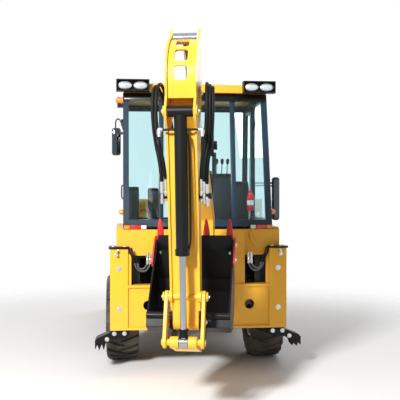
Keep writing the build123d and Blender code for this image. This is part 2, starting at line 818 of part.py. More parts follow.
lamp_stations = [  # y of the housing's face, way that it faces
    (cab_rear_y + rear_lean - 70, -1),
    (cab_front_y - front_lean + 90, 1),
]
visor_width = 345
with BuildPart() as work_lamps:
    for face_y, facing in lamp_stations:
        for way in (1, -1):
            middle = way * (cab_half_width - 102)
            low, high = (roof_z - 5, roof_z + 120)
            face = Plane(origin=(middle, face_y, (low + high) / 2), x_dir=(1, 0, 0), z_dir=(0, facing, 0))
            with BuildSketch(face):
                Rectangle(visor_width, high - low)
            extrude(amount=90)
            with BuildSketch(face.offset(25)):
                Rectangle(visor_width - 24, high - low - 24)
            extrude(amount=70, mode=Mode.SUBTRACT)
            with BuildSketch(face.offset(20)):
                with Locations((-82, 0), (82, 0)):
                    Ellipse(76, 44)
            extrude(amount=35)
save(work_lamps, "work_lamps")

door_gap = 6
door_border = 55
for hand, way in (("left", -1), ("right", 1)):
    inner, outer = cab_half_width - 45, cab_half_width - 5
    with BuildPart() as door:
        plate(side, door_shape(door_gap), inner, outer, 26, (way,))
        plate(side, door_shape(door_border), inner - 5, outer + 5, 20, (way,), Mode.SUBTRACT)
        for level in hinge_levels:
            disc(
                Plane(origin=(way * hinge_x, hinge_y, level + hinge_tall)), hinge_radius, hinge_tall
            )
            brick(
                way * outer, way * hinge_x, hinge_y + 2, hinge_y + 45,
                level + hinge_tall, level + 2 * hinge_tall,
            )
    save(door, f"door_{hand}")
    with BuildPart() as pane:
        plate(side, door_shape(door_border), outer - 20 - glass, outer - 20, 20, (way,))
    save(pane, f"door_glass_{hand}")

with BuildPart() as tail_lamps:
    for way in (1, -1):
        brick(
            way * 530, way * (cab_half_width - 4), cab_rear_y - 25, cab_rear_y - 0.5,
            belt_z - 20, belt_z + 30,
        )
save(tail_lamps, "tail_lamps")

mirror_table = [  # side, y, inner x, outer x, low z, high z
    (1, door_rear_y - 40, 985, 1070, 1495, 2005),
    (-1, cab_front_y + 20, 800, 909, 2285, 2625),
]
with BuildPart() as mirrors:
    for way, y0, x0, x1, z0, z1 in mirror_table:
        with BuildSketch(Plane.XZ.offset(-y0 - 40)):
            with Locations((way * (x0 + x1) / 2, (z0 + z1) / 2)):
                RectangleRounded(x1 - x0, z1 - z0, 32)
        extrude(amount=40)
        back = min(y0 + 10, front_face_y(z1) - 25)
        brick(way * cab_half_width, way * (x0 + 20), back, y0 + 30, z1 - 80, z1 - 60)
save(mirrors, "mirrors")

# ---- inside the cab -----------------------------------------------------------------
seat_y = cab_rear_y + 760
with BuildPart() as seat:
    brick(-170, 170, seat_y - 160, seat_y + 170, cab_floor_z, cab_floor_z + 300)
    brick(-225, 225, seat_y - 230, seat_y + 250, cab_floor_z + 300, cab_floor_z + 330)
    mirrored_brick(
        225, 250, seat_y - 200, seat_y - 150, cab_floor_z + 300, cab_floor_z + 560
    )
    mirrored_brick(215, 275, seat_y - 200, seat_y + 120, cab_floor_z + 560, cab_floor_z + 600)
save(seat, "seat")

with BuildPart() as seat_cushions:
    brick(
        -210, 210, seat_y - 150, seat_y + 250, cab_floor_z + 330.3, cab_floor_z + 440
    )
    back = [
        (seat_y - 230, cab_floor_z + 330.5), (seat_y - 290, cab_floor_z + 900),
        (seat_y - 190, cab_floor_z + 900), (seat_y - 150.5, cab_floor_z + 330.5),
    ]
    block(side, back, 205, radius=30)
save(seat_cushions, "seat_cushions")

with BuildPart() as controls:
    column_outline = [
        (seat_y + 560, cab_floor_z), (seat_y + 470, cab_floor_z + 640),
        (seat_y + 530, cab_floor_z + 660), (seat_y + 660, cab_floor_z),
    ]
    block(side, column_outline, 60, radius=8)
    wheel_plane = Plane(
        origin=(0, seat_y + 485, cab_floor_z + 700), x_dir=(1, 0, 0), z_dir=(0, -0.45, 0.89)
    )
    with BuildSketch(wheel_plane):
        Circle(190)
        Circle(165, mode=Mode.SUBTRACT)
        Rectangle(340, 26)
        Circle(40)
    extrude(amount=24)
    with BuildSketch(wheel_plane.offset(-50)):
        Circle(22)
    extrude(amount=50)
save(controls, "controls")


# ---- loader -------------------------------------------------------------------------
def offset_line(points, shift):
    """The points moved square to the line's own run, one side or the other."""
    moved = []
    for place, (a, b) in enumerate(points):
        before = points[max(0, place - 1)]
        after = points[min(len(points) - 1, place + 1)]
        run = hypot(after[0] - before[0], after[1] - before[1])
        moved.append((
            a - shift * (after[1] - before[1]) / run, b + shift * (after[0] - before[0]) / run
        ))
    return moved


arm_line = [arm_pivot, tilt_base, (tower_y + 1190, 1265), loader_pin]
arm_depths = [75, 88, 86, 54]

with BuildPart() as loader_arms:
    upper = []
    lower = []
    for place, point in enumerate(arm_line):
        upper.append(offset_line(arm_line, arm_depths[place])[place])
        lower.append(offset_line(arm_line, -arm_depths[place])[place])
    plate(side, upper + lower[::-1], arm_inner, arm_outer, 30)
    bar(side, arm_pivot, 75, arm_inner, arm_outer)
    bar(side, loader_pin, 62, arm_inner, arm_outer)
    ears = [
        (lift_eye[0] - 50, lift_eye[1]), (lift_eye[0] - 130, lift_eye[1] + 195),
        (lift_eye[0] + 130, lift_eye[1] + 130), (lift_eye[0] + 50, lift_eye[1]),
        (lift_eye[0], lift_eye[1] - 48),
    ]
    plate(side, ears, arm_inner, arm_inner + 22, 12)
    plate(side, ears, arm_outer - 22, arm_outer, 12)
    through(side, cross_tube, 45, arm_inner)
    bar(side, arm_pivot, 28 + seat_gap, arm_inner - 5, arm_outer + 5, mode=Mode.SUBTRACT)
    bar(side, loader_pin, 25, arm_inner - 32, arm_outer + 32)
    bar(side, tilt_base, 26, 352, arm_inner)
save(loader_arms, "loader_arms")

with BuildPart() as lift_barrels:
    middle_x = (arm_inner + arm_outer) / 2
    ram_barrel(side, lift_base, lift_eye, (middle_x, -middle_x), 45, 26, 858, 27)
    bar(side, lift_base, 24 + seat_gap, arm_inner, arm_outer, mode=Mode.SUBTRACT)
save(lift_barrels, "lift_barrels")
with BuildPart() as lift_rods:
    ram_rod(side, lift_base, lift_eye, (middle_x, -middle_x), 26, 858, 27)
save(lift_rods, "lift_rods")

tilt_x = 395
with BuildPart() as tilt_barrels:
    ram_barrel(side, tilt_base, tilt_eye, (tilt_x, -tilt_x), 38, 22, 1040, 30)
    bar(side, tilt_base, 26 + seat_gap, 340, arm_inner, mode=Mode.SUBTRACT)
save(tilt_barrels, "tilt_barrels")
with BuildPart() as tilt_rods:
    ram_rod(side, tilt_base, tilt_eye, (tilt_x, -tilt_x), 22, 1040, 30)
save(tilt_rods, "tilt_rods")

shell = 18
loader_back_y = loader_pin[0] + 118
bucket_outer = [
    (cutting_edge[0], 55), (loader_back_y + 90, 55), (loader_back_y + 20, 100),
    (loader_back_y - 10, 300), (loader_back_y, 640), (loader_back_y + 60, 900),
    (loader_back_y + 90, 900), (cutting_edge[0], 75),
]
bucket_inner = [
    (cutting_edge[0] + 40, 55 + shell), (loader_back_y + 100, 55 + shell),
    (loader_back_y + 40, 115), (loader_back_y - 10 + shell, 305),
    (loader_back_y + shell, 630), (loader_back_y + 60 + shell, 880), (loader_back_y + 120, 960),
    (cutting_edge[0] + 40, 400),
]
with BuildPart() as loader_bucket:
    half = loader_width / 2
    block(side, bucket_outer, half, radius=6)
    block(side, bucket_inner, half - shell, Mode.SUBTRACT, radius=4)
    ear_outline = [
        (loader_back_y + 5, 180), (loader_pin[0] - 30, 250), (loader_pin[0] - 62, 300),
        (loader_pin[0] - 20, 362), (loader_back_y - 5, 430),
    ]
    plate(side, ear_outline, arm_inner - 27, arm_inner - running_gap, 14)
    plate(side, ear_outline, arm_outer + running_gap, arm_outer + 27, 14)
    bar(side, loader_pin, 25 + seat_gap, arm_inner - 35, arm_outer + 35, mode=Mode.SUBTRACT)
    upper_ear = [
        (loader_back_y + 5, 440), (tilt_eye[0] - 30, tilt_eye[1] - 40),
        (tilt_eye[0] - 45, tilt_eye[1]), (tilt_eye[0] - 30, tilt_eye[1] + 40),
        (loader_back_y + 5, 690),
    ]
    plate(side, upper_ear, tilt_x - 57, tilt_x - 35, 14)
    plate(side, upper_ear, tilt_x + 35, tilt_x + 52, 14)
save(loader_bucket, "loader_bucket")

# ---- hoe: swing post and boom -------------------------------------------------------
post_half = 88
post_ear_inner = 60
post_ear_outer = 85
web_front = 54
lug_radius = 48
with BuildPart() as swing_post:
    for low, high in post_lugs:
        with BuildSketch(Plane(hoe.origin + (0, 0, low), x_dir=hoe.x_dir, z_dir=(0, 0, 1))):
            Circle(lug_radius)
            with Locations((web_front / 2, 0)):
                Rectangle(web_front + 8, 2 * post_ear_outer)
        extrude(amount=high - low)
        with BuildSketch(Plane(hoe.origin + (0, 0, low), z_dir=(0, 0, 1))):
            Circle(kingpost_pin + seat_gap)
        extrude(amount=high - low, mode=Mode.SUBTRACT)
    low, high = post_lugs[0][0], post_lugs[1][1]
    ear_outline = [
        (web_front, low), (web_front, high), (95, high), (100, 955),
        (boom_ram_base[0] + 30, boom_ram_base[1] + 50), (boom_ram_base[0] + 54, boom_ram_base[1]),
        (160, 735), (160, low),
    ]
    plate(hoe, ear_outline, post_ear_inner, post_ear_outer, 12)
    foot_block = [
        (web_front, low), (web_front, 775), (112, 775), (150, 740),
        (boom_foot[0], boom_foot[1] + 62),
        (boom_foot[0] + 62, boom_foot[1]), (boom_foot[0], boom_foot[1] - 62), (120, low),
    ]
    block(hoe, foot_block, post_half, radius=12)
    through(hoe, boom_ram_base, 24, post_ear_outer)
    through(hoe, boom_foot, 30, 125)
save(swing_post, "swing_post")

boom_half = 120
nose_half = 94
boom_outline = [
    (170, 915), (178, 1595), (dipper_pivot[0] - 66, dipper_pivot[1] + 62),
    (dipper_pivot[0] + 10, dipper_pivot[1] + 84), (dipper_pivot[0] + 85, dipper_pivot[1]),
    (dipper_pivot[0] + 48, dipper_pivot[1] - 72), (355, 1570), (320, 1215), (305, 755), (boom_foot[0] + 70, boom_foot[1]),
    (boom_foot[0], boom_foot[1] - 66), (boom_foot[0] - 66, boom_foot[1]),
]
with BuildPart() as boom:
    block(hoe, boom_outline, nose_half, radius=25)
    wide = [
        (170, 915), (178, 1595), (950, 2229), (1070, 2170), (355, 1570), (320, 1215),
        (305, 755), (boom_foot[0] + 70, boom_foot[1]), (boom_foot[0], boom_foot[1] - 66),
        (boom_foot[0] - 66, boom_foot[1]),
    ]
    block(hoe, wide, boom_half, radius=20)
    fork_gap = [
        (60, 515), (60, 955), (400, 955), (400, 515),
    ]
    block(hoe, fork_gap, post_half + running_gap, Mode.SUBTRACT, radius=5)
    eye_ears = [
        (180, 1315), (boom_ram_eye[0], boom_ram_eye[1] - 46), (boom_ram_eye[0] - 46, boom_ram_eye[1]),
        (boom_ram_eye[0], boom_ram_eye[1] + 50), (180, 1515),
    ]
    plate(hoe, eye_ears, 58, 80, 12)
    crowd_ears = [
        (180, 1505), (crowd_base[0] + 10, crowd_base[1] - 50), (crowd_base[0] - 46, crowd_base[1]),
        (crowd_base[0], crowd_base[1] + 48), (230, 1715), (260, 1615),
    ]
    plate(hoe, crowd_ears, 58, 82, 12)
    through(hoe, crowd_base, 24, 82)
    through(hoe, boom_foot, 30 + seat_gap, 130, Mode.SUBTRACT)
    through(hoe, dipper_pivot, 32 + seat_gap, 130, Mode.SUBTRACT)
save(boom, "boom")

with BuildPart() as boom_barrel:
    ram_barrel(hoe, boom_ram_base, boom_ram_eye, (0,), 46, 28, 560, 53)
    through(hoe, boom_ram_base, 24 + seat_gap, 60, Mode.SUBTRACT)
save(boom_barrel, "boom_barrel")
with BuildPart() as boom_rod:
    ram_rod(hoe, boom_ram_base, boom_ram_eye, (0,), 28, 560, 53)
save(boom_rod, "boom_rod")

# ---- hoe: dipper --------------------------------------------------------------------
web_u = 1315
arc_centre = (980, 2655)
arc_radius = web_u - arc_centre[0]
lever_inner = 133
lever_outer = 158
link_half = 103
dipper_inner = 100
dipper_outer = 117
tail_radius = 68

foot_of_stick = hoe.from_local_coords(Vector(*leaned(0, 0), 0))
stick = Plane(
    origin=foot_of_stick,
    x_dir=hoe.from_local_coords(Vector(*leaned(1, 0), 0)) - foot_of_stick,
    z_dir=hoe.z_dir,
)

with BuildPart() as dipper:
    for start, thickness in spans(dipper_inner, dipper_outer, (1, -1)):
        with BuildSketch(stick.offset(start)):
            with BuildLine():
                outer_arc = CenterArc(arc_centre, arc_radius + 15, 0, 84)
                Polyline(
                    outer_arc @ 1, (tail_upright[0] + 10, tail_upright[1] + tail_radius),
                    (tail_upright[0] - 60, tail_upright[1] + 30), (tail_upright[0] - 50, tail_upright[1] - 60),
                    (pivot_upright[0] - 150, pivot_upright[1] + 20), (pivot_upright[0] - 110, 2445),
                    (1165, 2315), (1150, 1615), (1190, 1115), (1210, 915), (web_u + 15, 915),
                    (web_u + 15, 2315), (ram_upright[0] + 30, 2405),
                    (ram_upright[0] + 45, 2470), (web_u + 15, 2570), outer_arc @ 0,
                )
            make_face()
        extrude(amount=thickness)
    shank = [
        (1165, 2315), (1150, 1615), (1190, 1115), (1210, 915), (bucket_pin[0] - 62, bucket_pin[1]),
        (bucket_pin[0] + 62, bucket_pin[1]), (web_u, 975), (web_u, 2315),
    ]
    block(stick, shank, dipper_inner, radius=0)
    through(stick, bucket_pin, 62, dipper_inner)
    # the tail's curved web
    with BuildSketch(stick.offset(-dipper_inner)):
        with BuildLine():
            inner_web = CenterArc(arc_centre, arc_radius - 15, 0, 80)
            outer_web = CenterArc(arc_centre, arc_radius, 0, 80)
            Line(inner_web @ 1, outer_web @ 1)
            Polyline(
                inner_web @ 0, (web_u - 15, 2550), (web_u, 2550), outer_web @ 0
            )
        make_face()
    extrude(amount=2 * dipper_inner)
    for angle in (14, 39, 64):
        opening = Plane(
            origin=stick.from_local_coords(Vector(*arc_centre, 0)),
            x_dir=stick.z_dir,
            z_dir=stick.from_local_coords(
                Vector(arc_centre[0] + cos(radians(angle)), arc_centre[1] + sin(radians(angle)), 0)
            ) - stick.from_local_coords(Vector(*arc_centre, 0)),
        )
        with BuildSketch(opening.offset(arc_radius - 60)):
            RectangleRounded(100, 108, 22)
        extrude(amount=100, mode=Mode.SUBTRACT)
    through(stick, pivot_upright, 32, dipper_outer)
    through(stick, ram_upright, 26, dipper_outer)
    bar(stick, lever_upright, 48, dipper_inner, lever_inner - running_gap)
    through(stick, lever_upright, 26, 165)
    through(stick, bucket_pin, 27, 140)
save(dipper, "dipper")

with BuildPart() as crowd_barrel:
    ram_barrel(hoe, crowd_base, crowd_eye, (0,), 48, 28, 1200, 53, eye=46)
    through(hoe, crowd_base, 24 + seat_gap, 60, Mode.SUBTRACT)
save(crowd_barrel, "crowd_barrel")
with BuildPart() as crowd_rod:
    ram_rod(hoe, crowd_base, crowd_eye, (0,), 28, 1200, 92, eye=46)
save(crowd_rod, "crowd_rod")

with BuildPart() as bucket_barrel:
    ram_barrel(hoe, bucket_ram_base, lever_eye, (0,), 48, 26, 1138, 92, eye=42)
    through(hoe, bucket_ram_base, 26 + seat_gap, 110, Mode.SUBTRACT)
save(bucket_barrel, "bucket_barrel")
with BuildPart() as bucket_rod:
    ram_rod(hoe, bucket_ram_base, lever_eye, (0,), 26, 1138, 32, eye=42)
save(bucket_rod, "bucket_rod")

# ---- hoe: bucket linkage and bucket -------------------------------------------------
with BuildPart() as guide_levers:
    run = along(hoe, lever_pivot, lever_eye, 0)
    for way in (1, -1):
        start = lever_inner if way > 0 else -lever_outer
        with BuildSketch(hoe.offset(start)):
            with BuildLine():
                Polyline(
                    *offset_line([lever_pivot, lever_eye], 46),
                    *offset_line([lever_pivot, lever_eye], -46)[::-1], close=True,
                )
            make_face()
            with Locations(lever_pivot, lever_eye):
                Circle(46)
        extrude(amount=lever_outer - lever_inner)
    bar(
        hoe, lever_pivot, 26 + seat_gap, lever_inner - 5, lever_outer + 10, mode=Mode.SUBTRACT
    )
    bar(hoe, lever_eye, 25, link_half - 20, lever_outer + 12)
save(guide_levers, "guide_levers")

with BuildPart() as tipping_link:
    for start, thickness in spans(70, link_half, (1, -1)):
        with BuildSketch(hoe.offset(start)):
            with BuildLine():
                Polyline(
                    *offset_line([lever_eye, link_pin], 42),
                    *offset_line([lever_eye, link_pin], -42)[::-1], close=True,
                )
            make_face()
            with Locations(lever_eye, link_pin):
                Circle(45)
        extrude(amount=thickness)
    through(hoe, link_pin, 45, link_half)
    bar(hoe, lever_eye, 45, 38, link_half)
    bar(hoe, lever_eye, 25 + seat_gap, link_half - 20, link_half + 5, mode=Mode.SUBTRACT)
    middle_link = [
        (1200, 555), (1200, 600), (1300, 640), (1300, 595),
    ]
    block(hoe, middle_link, link_half, radius=6)
save(tipping_link, "tipping_link")

hoe_bucket_half = 338
hoe_shell = 14
bucket_back = [(1215, 750), (1100, 690), (900, 680), (742, 780), (670, 960), (668, 1075)]
with BuildPart() as hoe_bucket:
    outer_outline = [bucket_lip, (1180, 860)] + bucket_back
    block(hoe, outer_outline, hoe_bucket_half, radius=5)
    inside = [
        (744, 1458), (1260, 915), (1190, 828), (1095, 706), (905, 696), (754, 792), (685, 966),
        (683, 1075),
    ]
    block(hoe, inside, hoe_bucket_half - hoe_shell, Mode.SUBTRACT, radius=4)
    ear_plate = [
        (1180, 860), (bucket_pin[0] - 30, bucket_pin[1] + 60), (bucket_pin[0] + 55, bucket_pin[1] + 20),
        (bucket_pin[0] + 40, bucket_pin[1] - 50), (1228, 700), (link_pin[0] + 48, link_pin[1] - 10),
        (link_pin[0], link_pin[1] - 48), (link_pin[0] - 48, link_pin[1]), (960, 684), (1100, 692),
    ]
    plate(hoe, ear_plate, 110, 128, 12)
    bar(hoe, bucket_pin, 27 + seat_gap, 105, 135, mode=Mode.SUBTRACT)
    through(hoe, (1180, 836), 30, hoe_bucket_half)
save(hoe_bucket, "hoe_bucket")

tooth_count = 4
with BuildPart() as bucket_teeth:
    floor_run = hypot(bucket_lip[0] - bucket_back[-1][0], bucket_lip[1] - bucket_back[-1][1])
    lean_u = (bucket_lip[0] - bucket_back[-1][0]) / floor_run
    lean_z = (bucket_lip[1] - bucket_back[-1][1]) / floor_run
    tooth = [  # along the floor from the lip, out from the floor's outer face
        (bucket_lip[0] + run * lean_u - out * lean_z, bucket_lip[1] + run * lean_z + out * lean_u)
        for run, out in ((-75, 0), (-60, 22), (0, 26), (175, 4), (175, -5), (6, -18), (4, 0))
    ]
    pitch = (2 * hoe_bucket_half - 76) / (tooth_count - 1)
    for place in range(tooth_count):
        centre = -hoe_bucket_half + 38 + place * pitch
        plate(hoe, tooth, centre - 32, centre + 32, 3, (1,))
save(bucket_teeth, "bucket_teeth")
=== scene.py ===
"""A backhoe loader on its wheels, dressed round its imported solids.

The machine's front is +Y, its right-hand side +X, and the hoe stands folded at -Y. Metres.
"""

from math import cos, exp, pi, radians, sin

import bmesh
import bpy
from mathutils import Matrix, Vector


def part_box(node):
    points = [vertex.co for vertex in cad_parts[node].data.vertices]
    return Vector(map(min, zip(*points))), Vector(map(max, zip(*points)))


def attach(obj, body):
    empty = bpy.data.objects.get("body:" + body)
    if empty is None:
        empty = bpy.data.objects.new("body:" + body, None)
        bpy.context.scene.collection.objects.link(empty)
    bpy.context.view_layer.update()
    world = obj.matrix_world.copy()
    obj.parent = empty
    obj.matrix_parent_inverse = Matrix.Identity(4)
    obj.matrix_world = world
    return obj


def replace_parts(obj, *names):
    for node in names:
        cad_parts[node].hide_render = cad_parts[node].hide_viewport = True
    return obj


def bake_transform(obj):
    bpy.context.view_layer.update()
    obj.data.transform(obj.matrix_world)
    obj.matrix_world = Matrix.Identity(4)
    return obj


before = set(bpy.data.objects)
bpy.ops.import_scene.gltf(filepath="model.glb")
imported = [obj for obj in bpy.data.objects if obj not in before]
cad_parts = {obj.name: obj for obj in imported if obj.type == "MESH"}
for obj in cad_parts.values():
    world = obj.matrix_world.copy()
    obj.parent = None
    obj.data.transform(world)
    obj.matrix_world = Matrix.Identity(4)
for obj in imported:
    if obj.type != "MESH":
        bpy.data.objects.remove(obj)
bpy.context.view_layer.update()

# ---- Camera -------------------------------------------------------------------------
# A long lens at eye height behind the hoe, a little to the left of the machine and turned
# towards it, so that the dipper stands in front of the cab and the rear frame is square on.
camera_data = bpy.data.cameras.new("camera")
camera_data.sensor_width = 36
camera_data.lens = 65.3
camera = bpy.data.objects.new("camera", camera_data)
camera.location = (-0.772, -8.392, 1.817)
camera.rotation_euler = (radians(90 - 0.55), 0, radians(-6.05))
bpy.context.collection.objects.link(camera)
bpy.context.scene.camera = camera

# ---- Painted steelwork: frame, hoe, loader, hood, roof ------------------------------
# Welded plate and castings sprayed with a high-gloss chrome-yellow enamel over primer.
# The film is thick and a little wavy, it softens the edges, and fine dust dulls it.


def tint(hex_colour):
    """An sRGB hex colour as the linear red, green, blue and alpha that a shader takes."""
    channels = [int(hex_colour[place:place + 2], 16) / 255 for place in (1, 3, 5)]
    linear = [
        part / 12.92 if part <= 0.04045 else ((part + 0.055) / 1.055) ** 2.4
        for part in channels
    ]
    return (*linear, 1.0)


def add_node(material, kind, settings=None, **inputs):
    """Adds a node: settings are its own properties, inputs are values or other nodes' sockets."""
    node = material.node_tree.nodes.new(kind)
    for key, value in (settings or {}).items():
        setattr(node, key, value)
    for key, value in inputs.items():
        numbered = key[0] == "i" and key[1:].isdigit()
        socket = node.inputs[int(key[1:])] if numbered else node.inputs[key.replace("_", " ")]
        if isinstance(value, bpy.types.NodeSocket):
            material.node_tree.links.new(value, socket)
        else:
            socket.default_value = value
    return node


def new_finish(name):
    """An empty node material and its shader."""
    material = bpy.data.materials.new(name)
    material.use_nodes = True
    return material, material.node_tree.nodes["Principled BSDF"]


def connect(material, socket, target):
    """Links a socket to a shader's input."""
    material.node_tree.links.new(socket, target)


def enamel(name, colour, dusty, roughness, edge_mm=3.0, wave_mm=30.0, arch_shade=False, gloss=0.30):
    """Sprayed gloss enamel: a wavy film, softened edges, dust where the air leaves it, and painted
    shade in the wheel arches if asked.
    """
    material, shader = new_finish(name)
    place = add_node(material, "ShaderNodeTexCoord").outputs["Object"]
    cloud = add_node(material, "ShaderNodeTexNoise", Vector=place, Scale=2.2, Detail=5.0)
    grime = add_node(
        material, "ShaderNodeMapRange", Value=cloud.outputs[0],
        i1=0.42, i2=0.78, i3=0.0, i4=0.30,
    )
    coloured = add_node(
        material, "ShaderNodeMix", {"data_type": "RGBA"},
        Factor=grime.outputs[0], i6=tint(colour), i7=tint(dusty),
    ).outputs[2]
    if arch_shade:
        # inside the wheel arches the plate is sprayed with black underseal
        axes = add_node(material, "ShaderNodeSeparateXYZ", Vector=place)
        inward = add_node(material, "ShaderNodeMath", {"operation": "ABSOLUTE"}, i0=axes.outputs[0])
        inside = add_node(
            material, "ShaderNodeMath", {"operation": "LESS_THAN"},
            # inside the wheel arches, under the fenders, the plate is painted near-black: painted
            # shade
            i0=inward.outputs[0], i1=0.835,
        )
        below = add_node(
            material, "ShaderNodeMath", {"operation": "LESS_THAN"},
            i0=axes.outputs[2], i1=1.24,
        )
        arch_shade_mask = add_node(
            material, "ShaderNodeMath", {"operation": "MULTIPLY"},
            i0=inside.outputs[0], i1=below.outputs[0],
        )
        coloured = add_node(
            material, "ShaderNodeMix", {"data_type": "RGBA"},
            Factor=arch_shade_mask.outputs[0], i6=coloured, i7=tint("#141312"),
        ).outputs[2]
    connect(material, coloured, shader.inputs["Base Color"])
    dulled = add_node(
        material, "ShaderNodeMapRange", Value=cloud.outputs[0],
        i1=0.3, i2=0.8, i3=roughness, i4=roughness + 0.18,
    )
    connect(material, dulled.outputs[0], shader.inputs["Roughness"])
    edge = add_node(material, "ShaderNodeBevel", {"samples": 4}, Radius=edge_mm / 1000)
    film = add_node(
        material, "ShaderNodeTexNoise", Vector=place, Scale=1000 / wave_mm, Detail=2.0
    )
    bump = add_node(
        material, "ShaderNodeBump", Strength=0.06, Distance=0.002,
        Height=film.outputs[0], Normal=edge.outputs[0],
    )
    connect(material, bump.outputs[0], shader.inputs["Normal"])
    shader.inputs["Coat Weight"].default_value = gloss
    shader.inputs["Specular IOR Level"].default_value = gloss + 0.1
    shader.inputs["Coat Roughness"].default_value = 0.12
    return material


def finish(material, *nodes):
    """Gives CAD nodes a material."""
    for name in nodes:
        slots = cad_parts[name].data.materials
        slots.clear()
        slots.append(material)


yellow_enamel = enamel("yellow_enamel", "#F4B62E", "#D0A050", 0.34, gloss=0.2)
finish(
    yellow_enamel, "rear_frame", "swing_brackets", "main_frame", "swing_post", "boom", "dipper",
    "guide_levers", "tipping_link", "loader_arms", "loader_bucket", "hood", "cab_roof",
)
# The fenders' enamel carries painted shade: near-black colour inside the wheel arches, under the
# fenders.
finish(
    enamel("fender_enamel", "#F4B62E", "#D0A050", 0.34, arch_shade=True, gloss=0.2), "rear_fenders"
)

# ---- Black running gear and guards --------------------------------------------------
# Mild-steel pieces in satin black enamel: axles, legs, tanks, steps, rams and the digging
# bucket. Satin takes the light broadly, and stone dust greys it first.
black_enamel = enamel("black_enamel", "#050606", "#181715", 0.36, gloss=0.08)
finish(
    black_enamel, "rear_axle", "front_axle", "knuckle_left", "knuckle_right", "leg_left",
    "leg_right", "tanks", "steps", "exhaust", "hoe_bucket", "boom_barrel", "crowd_barrel",
    "bucket_barrel", "lift_barrels", "tilt_barrels", "grille", "cab_floor",
)

# ---- Teeth and side cutters ---------------------------------------------------------
# Forged points that straddle the bucket's lip, and flame-cut plates bolted down its side
# edges, all in red enamel.
red_enamel = enamel("red_enamel", "#D4161C", "#8E3A34", 0.36)
slew = radians(-12.5)
kingpost_y = -1.472


def on_hoe(u, aside, z):
    """A point of the hoe: u rearward of the kingpost, aside to the left of its plane."""
    return Vector((
        sin(slew) * u - cos(slew) * aside, kingpost_y - cos(slew) * u - sin(slew) * aside, z
    ))


def along_hoe(u, aside, z):
    """A direction of the hoe, in the machine's axes."""
    return on_hoe(u, aside, z) - on_hoe(0, 0, 0)


def piece(name, mesh, material, body, smooth_below=35):
    """Turns a finished bmesh into a piece that rides on a body; flat turns stay sharp."""
    bmesh.ops.recalc_face_normals(mesh, faces=mesh.faces)
    for edge in mesh.edges:
        folded = len(edge.link_faces) == 2 and edge.calc_face_angle(0) > radians(smooth_below)
        edge.smooth = not folded
    data = bpy.data.meshes.new(name)
    mesh.to_mesh(data)
    mesh.free()
    for face in data.polygons:
        face.use_smooth = True
    data.materials.append(material)
    made = bpy.data.objects.new(name, data)
    bpy.context.collection.objects.link(made)
    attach(made, body)
    return made


def cut_plate(name, outline, through, body, material, rounding=0.002):
    """A flat piece: its corners in order, the vector through it, and its edges' radius."""
    mesh = bmesh.new()
    front = [mesh.verts.new(corner) for corner in outline]
    back = [mesh.verts.new(Vector(corner) + Vector(through)) for corner in outline]
    mesh.faces.new(front)
    mesh.faces.new(back[::-1])
    for place in range(len(front)):
        after = (place + 1) % len(front)
        mesh.faces.new((front[place], front[after], back[after], back[place]))
    bmesh.ops.bevel(
        mesh, geom=mesh.edges[:], offset=rounding, segments=2, profile=0.5, affect="EDGES"
    )
    return piece(name, mesh, material, body)


def bolts(name, spots, facing, size, body, material):
    """Hexagon heads on washers, standing out along facing; size is the head's half width."""
    mesh = bmesh.new()
    turn = Vector((0, 0, 1)).rotation_difference(Vector(facing)).to_matrix().to_4x4()
    for spot in spots:
        for sides, wide, narrow, low, high in (
            (20, 1.75, 1.70, 0.0, 0.22), (6, 1.12, 1.12, 0.22, 0.80), (6, 1.12, 0.92, 0.80, 0.95),
        ):
            made = bmesh.ops.create_cone(
                mesh, cap_ends=True, segments=sides, radius1=wide * size, radius2=narrow * size,
                depth=(high - low) * size,
            )
            bmesh.ops.translate(mesh, verts=made["verts"], vec=(0, 0, (high + low) / 2 * size))
            bmesh.ops.transform(mesh, verts=made["verts"], matrix=turn)
            bmesh.ops.translate(mesh, verts=made["verts"], vec=spot)
    return piece(name, mesh, material, body)


def skin(mesh, rings):
    """Faces between neighbouring rings of points, and a face over each end."""
    for low, high in zip(rings, rings[1:]):
        for step in range(len(low)):
            after = (step + 1) % len(low)
            mesh.faces.new((low[step], low[after], high[after], high[step]))
    mesh.faces.new(rings[0])
    mesh.faces.new(rings[-1])


zinc, zinc_shader = new_finish("zinc_plate")
zinc_shader.inputs["Base Color"].default_value = tint("#C9CCCB")
zinc_shader.inputs["Metallic"].default_value = 1.0
frost = add_node(zinc, "ShaderNodeTexNoise", Scale=90.0, Detail=3.0)
frosted = add_node(
    zinc, "ShaderNodeMapRange", Value=frost.outputs[0], i1=0.3, i2=0.7, i3=0.22, i4=0.42
)
connect(zinc, frosted.outputs[0], zinc_shader.inputs["Roughness"])

hoe_hands = (("left", 1), ("right", -1))  # hand, and which way it lies from the hoe's plane
bucket_half = 0.338
cutter_thick = 0.014
lip = Vector((0.722, 1.422))
down_edge = Vector((0.632, -0.775))
inward = Vector((-0.775, -0.632))
cutter = [  # down the bucket's side edge, inward from it
    (-0.045, 0.012), (0.0, -0.020), (0.10, -0.022), (0.25, -0.008), (0.27, 0.030), (0.16, 0.050),
    (0.03, 0.085), (-0.035, 0.070),
]
for hand, way in hoe_hands:
    corners = [lip + down_edge * run + inward * deep for run, deep in cutter]
    face = way * (bucket_half + 0.0005)
    cut_plate(
        f"side_cutter_{hand}", [on_hoe(u, face, z) for u, z in corners],
        along_hoe(0, way * cutter_thick, 0), "hoe_bucket", red_enamel, 0.003,
    )
    spots = [lip + down_edge * run + inward * 0.025 for run in (0.05, 0.20)]
    bolts(
        f"side_cutter_bolts_{hand}", [on_hoe(u, face + way * cutter_thick, z) for u, z in spots],
        along_hoe(0, way, 0), 0.011, "hoe_bucket", zinc,
    )

